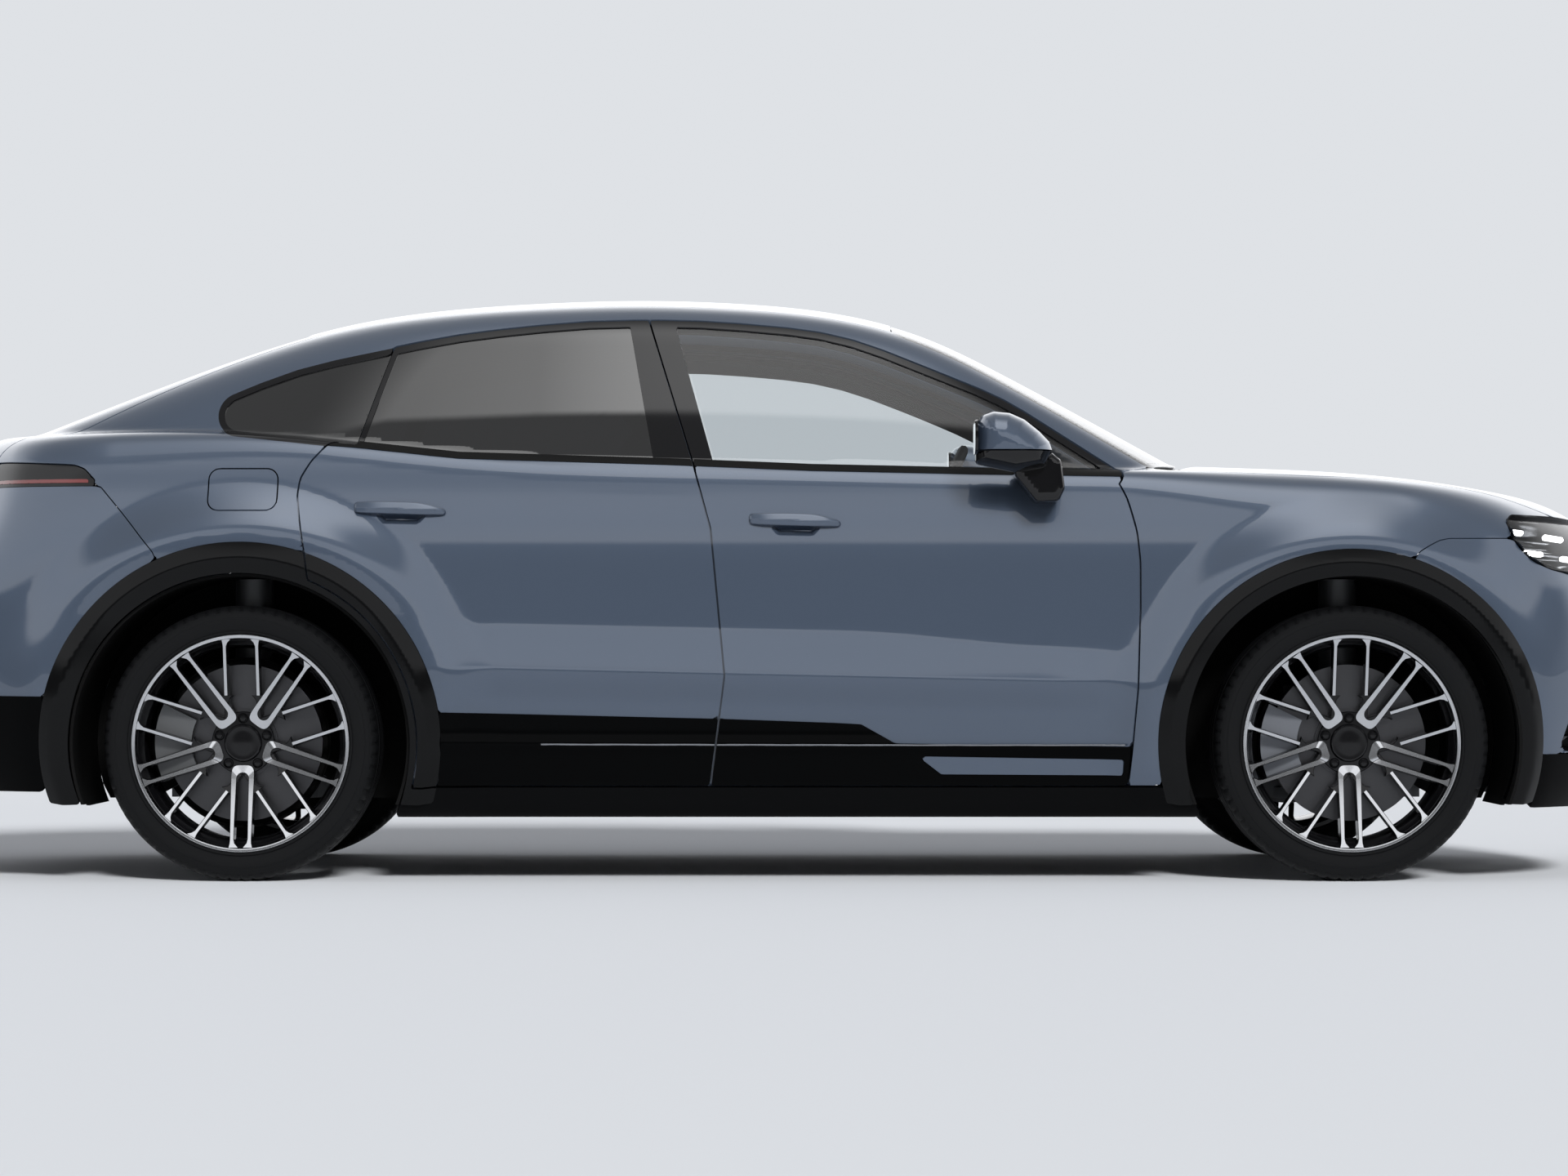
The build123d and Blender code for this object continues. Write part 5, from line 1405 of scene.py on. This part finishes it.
def build_cabin():
    for hand, mid in (("right", -SEAT_Y), ("left", SEAT_Y)):
        for part, points, radius, (cx, cz), (rx, rz) in SEAT_FORMS:
            half = HEAD_HALF if part == "head_rest" else SEAT_HALF
            piece = formed("front_%s_%s" % (part, hand),
                           side_lump(points, radius, mid, half, 0.05 if part == "head_rest" else 0.06, 0.016),
                           (cx, mid, cz), (rx, half, rz), LEATHER, "body", 48, 56)
            pad_seams(piece, mid, half)
            if part == "cushion" and hand == "right":
                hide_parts("front_seats")
        base = Kit()
        base.rings([[(x, mid + aside, z) for x, z in SEAT_BASE] for aside in (-BASE_HALF, BASE_HALF)], 0,
                   closed=True, ends=True)
        base.make("seat_base_" + hand, [CABIN], "body", (0, 0, 0), False, 0.5)
    for part, points, radius, (cx, cz), (rx, rz) in REAR_FORMS:
        for k, mid in enumerate((-REAR_Y, REAR_Y)):
            pad = side_lump(points, radius, mid, REAR_HALF, 0.06, 0.012)
            piece = formed("rear_%s_%d" % (part, k + 1), pad, (cx, mid, cz), (rx, REAR_HALF, rz), LEATHER,
                           "body", 44, 52)
            pad_seams(piece, mid, REAR_HALF)
            if part == "cushion" and k == 0:
                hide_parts("rear_seat")
        pad = side_lump(points, radius, 0.0, MIDDLE_HALF, 0.05, 0.008)
        piece = formed("rear_%s_3" % part, pad, (cx, 0, cz), (rx, MIDDLE_HALF, rz), LEATHER, "body", 40, 44)


def pad_seams(piece, mid, half):
    """Sewn channels along a pad: shallow grooves where its side bolsters meet the middle."""
    mesh = piece.data
    count = len(mesh.vertices)
    co, no = np.empty((count, 3)), np.empty((count, 3))
    mesh.vertices.foreach_get("co", co.ravel())
    mesh.vertices.foreach_get("normal", no.ravel())
    aside = np.abs(co[:, 1] - mid)
    groove = 0.006 * np.exp(-((aside - 0.62 * half) / 0.006) ** 2)
    swell = 0.010 * ease(aside, 0.62 * half, 0.85 * half) * (1 - ease(aside, 0.85 * half, half))
    face = np.abs(no[:, 1]) < 0.6
    co = co + no * ((swell - groove) * face)[:, None]
    mesh.vertices.foreach_set("co", co.ravel())
    mesh.update()


# The material of each solid that stays as it is
FRAME_LOOKS = { "floor_pan": STEEL, "battery_pack": DARK, "front_structure": STEEL, "arch_liners": DARK,
               "front_axle": STEEL, "rear_axle": STEEL, "drive_unit_front": CAST, "drive_unit_rear": CAST,
               "dashboard": CABIN, "steering_wheel": LEATHER, }


def dress_frame():
    for hand in ("right", "left"):
        FRAME_LOOKS["knuckle_front_" + hand] = CALIPER
        for end in ("front", "rear"):
            FRAME_LOOKS["brake_rotor_%s_%s" % (end, hand)] = IRON
    for node, look in FRAME_LOOKS.items():
        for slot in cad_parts[node].material_slots:
            slot.material = look


# Studio
BACKDROP = (0.737, 0.759, 0.791)
FLOOR_FADE = (5.0, 16.0)
FLOOR_HALF = 80
# The room's plain light on surfaces that don't shine
FILL = (0.36, 0.365, 0.38)
ROOM_LEVEL = 0.90
# Brightness of the room by height, from straight down (0) over the horizon (0.5) to straight up (1): on the
# camera's side, where a long softbox hangs, and on the far side, which is the pale backdrop
ROOM_NEAR = [(0.00, 0.20), (0.49, 0.30), (0.52, 0.16), (0.612, 0.13), (0.630, 1.60), (0.700, 1.25),
             (0.780, 1.35), (0.820, 0.30), (0.870, 0.42), (1.00, 0.42)]
ROOM_FAR = [(0.00, 0.35), (0.50, 0.70), (0.53, 1.50), (0.72, 1.90), (0.82, 1.10), (0.90, 0.50), (1.00, 0.45)]
FAR_TURN = (-0.15, 0.35)
# The softbox overhead: its level, the heights its edge lies between, and how it fades along the vehicle
TOP_LEVEL = 2.4
TOP_EDGE = (0.886, 0.894)
TOP_REAR = (-0.26, 0.02)
TOP_FRONT = (0.16, 0.32)


def fading(nodes, links, source, low, high, value_low, value_high):
    node = add_node(nodes, "MapRange", {"From Min": low, "From Max": high, "To Min": value_low,
                                        "To Max": value_high}, interpolation_type="SMOOTHSTEP")
    links.new(source, node.inputs["Value"])
    return node.outputs["Result"]


def maths(nodes, links, operation, a, b):
    node = add_node(nodes, "Math", operation=operation)
    links.new(a, node.inputs[0])
    links.new(b, node.inputs[1])
    return node.outputs["Value"]


def mixed(nodes, links, share, b, a=None, values=None):
    """Two colours mixed. A colour that isn't linked comes from values."""
    node = add_node(nodes, "Mix", values, data_type="RGBA")
    links.new(share, node.inputs["Factor"])
    for key, source in (("A", a), ("B", b)):
        if source:
            links.new(source, node.inputs[key])
    return node.outputs["Result"]


def room_ramp(nodes, links, height, rows):
    node = add_node(nodes, "ValToRGB")
    links.new(height, node.inputs["Fac"])
    stops = node.color_ramp.elements
    while len(stops) < len(rows):
        stops.new(0.5)
    for stop, (place, level) in zip(stops, rows):
        stop.position = place
        stop.color = (level, level * 1.01, level * 1.03, 1)
    return node.outputs["Color"]


def build_studio():
    scene = bpy.context.scene
    scene.view_settings.view_transform = "Standard"
    scene.world = bpy.data.worlds.new("studio_world")
    scene.world.use_nodes = True
    n, l = scene.world.node_tree.nodes, scene.world.node_tree.links
    coord = add_node(n, "TexCoord")
    split = add_node(n, "SeparateXYZ")
    l.new(coord.outputs["Generated"], split.inputs["Vector"])
    along, aside = split.outputs["X"], split.outputs["Y"]
    lift = add_node(n, "MapRange", {"From Min": -1.0, "From Max": 1.0})
    l.new(split.outputs["Z"], lift.inputs["Value"])
    height = lift.outputs["Result"]
    top = fading(n, l, height, *TOP_EDGE, 0.0, TOP_LEVEL)
    top = maths(n, l, "MULTIPLY", top, fading(n, l, along, *TOP_REAR, 0.0, 1.0))
    top = maths(n, l, "MULTIPLY", top, fading(n, l, along, *TOP_FRONT, 1.0, 0.0))
    near = add_node(n, "VectorMath", operation="ADD")
    l.new(room_ramp(n, l, height, ROOM_NEAR), near.inputs[0])
    l.new(top, near.inputs[1])
    room = mixed(n, l, fading(n, l, aside, *FAR_TURN, 0.0, 1.0), room_ramp(n, l, height, ROOM_FAR),
                 near.outputs["Vector"])
    rays = add_node(n, "LightPath").outputs
    lit = mixed(n, l, rays["Is Glossy Ray"], room, values={"A": (*FILL, 1)})
    seen = maths(n, l, "MAXIMUM", rays["Is Camera Ray"], rays["Is Transmission Ray"])
    shown = mixed(n, l, seen, None, lit, {"B": (*[c / ROOM_LEVEL for c in BACKDROP], 1)})
    background = give(n["Background"], {"Strength": ROOM_LEVEL})
    l.new(shown, background.inputs["Color"])
    build_floor()


def build_floor():
    """A pale floor that turns into the backdrop's own colour far from the vehicle."""
    material, n, l, shader = new_material("studio_floor", {
        "Base Color": (*BACKDROP, 1), "Roughness": 0.85, "Specular IOR Level": 0.1})
    noise_bump(n, l, shader, 3.0, 0.02)
    coord = add_node(n, "TexCoord")
    reach = add_node(n, "VectorMath", operation="LENGTH")
    far = add_node(n, "Emission", {"Color": (*BACKDROP, 1)})
    mix = add_node(n, "MixShader")
    l.new(coord.outputs["Object"], reach.inputs[0])
    l.new(fading(n, l, reach.outputs["Value"], *FLOOR_FADE, 0.0, 1.0), mix.inputs["Fac"])
    l.new(shader.outputs["BSDF"], mix.inputs[1])
    l.new(far.outputs["Emission"], mix.inputs[2])
    l.new(mix.outputs["Shader"], n["Material Output"].inputs["Surface"])
    mesh = bpy.data.meshes.new("studio_floor")
    size = FLOOR_HALF
    mesh.from_pydata([(-size, -size, 0), (size, -size, 0), (size, size, 0), (-size, size, 0)], [],
                     [(0, 1, 2, 3)])
    mesh.materials.append(material)
    placed("studio_floor", mesh)


# Where the key light comes from, its strength and its width in degrees
KEY_FROM = (2.4, -10.0, 5.2)
KEY_STRENGTH = 4.2
KEY_SOFT = 11.0


def build_lights():
    """One soft key from the camera's side. It has no glint of its own: the softboxes are in the room."""
    lamp = bpy.data.lights.new("key_light", "SUN")
    lamp.energy = KEY_STRENGTH
    lamp.angle = math.radians(KEY_SOFT)
    obj = placed("key_light", lamp)
    obj.location = KEY_FROM
    obj.rotation_euler = (-Vector(KEY_FROM)).to_track_quat("-Z", "Y").to_euler()
    obj.visible_glossy = False


CAMERA_PLACE = (0.042, -14.565, 0.621)
CAMERA_LENS = 114.9
HORIZON_SHIFT = 80 / 1920


def build_camera():
    camera = bpy.data.cameras.new("photo_camera")
    camera.lens = CAMERA_LENS
    camera.sensor_width = 36.0
    camera.shift_y = HORIZON_SHIFT
    camera.clip_end = 300
    obj = placed("photo_camera", camera)
    obj.location = CAMERA_PLACE
    obj.rotation_euler = (math.radians(90), 0, 0)
    bpy.context.scene.camera = obj


build_shell()
build_doors()
build_handles()
build_arches()
build_ends()
build_lamps()
build_frames()
build_wheels()
build_undertray()
build_mirrors()
build_cabin()
dress_frame()
build_studio()
build_lights()
build_camera()
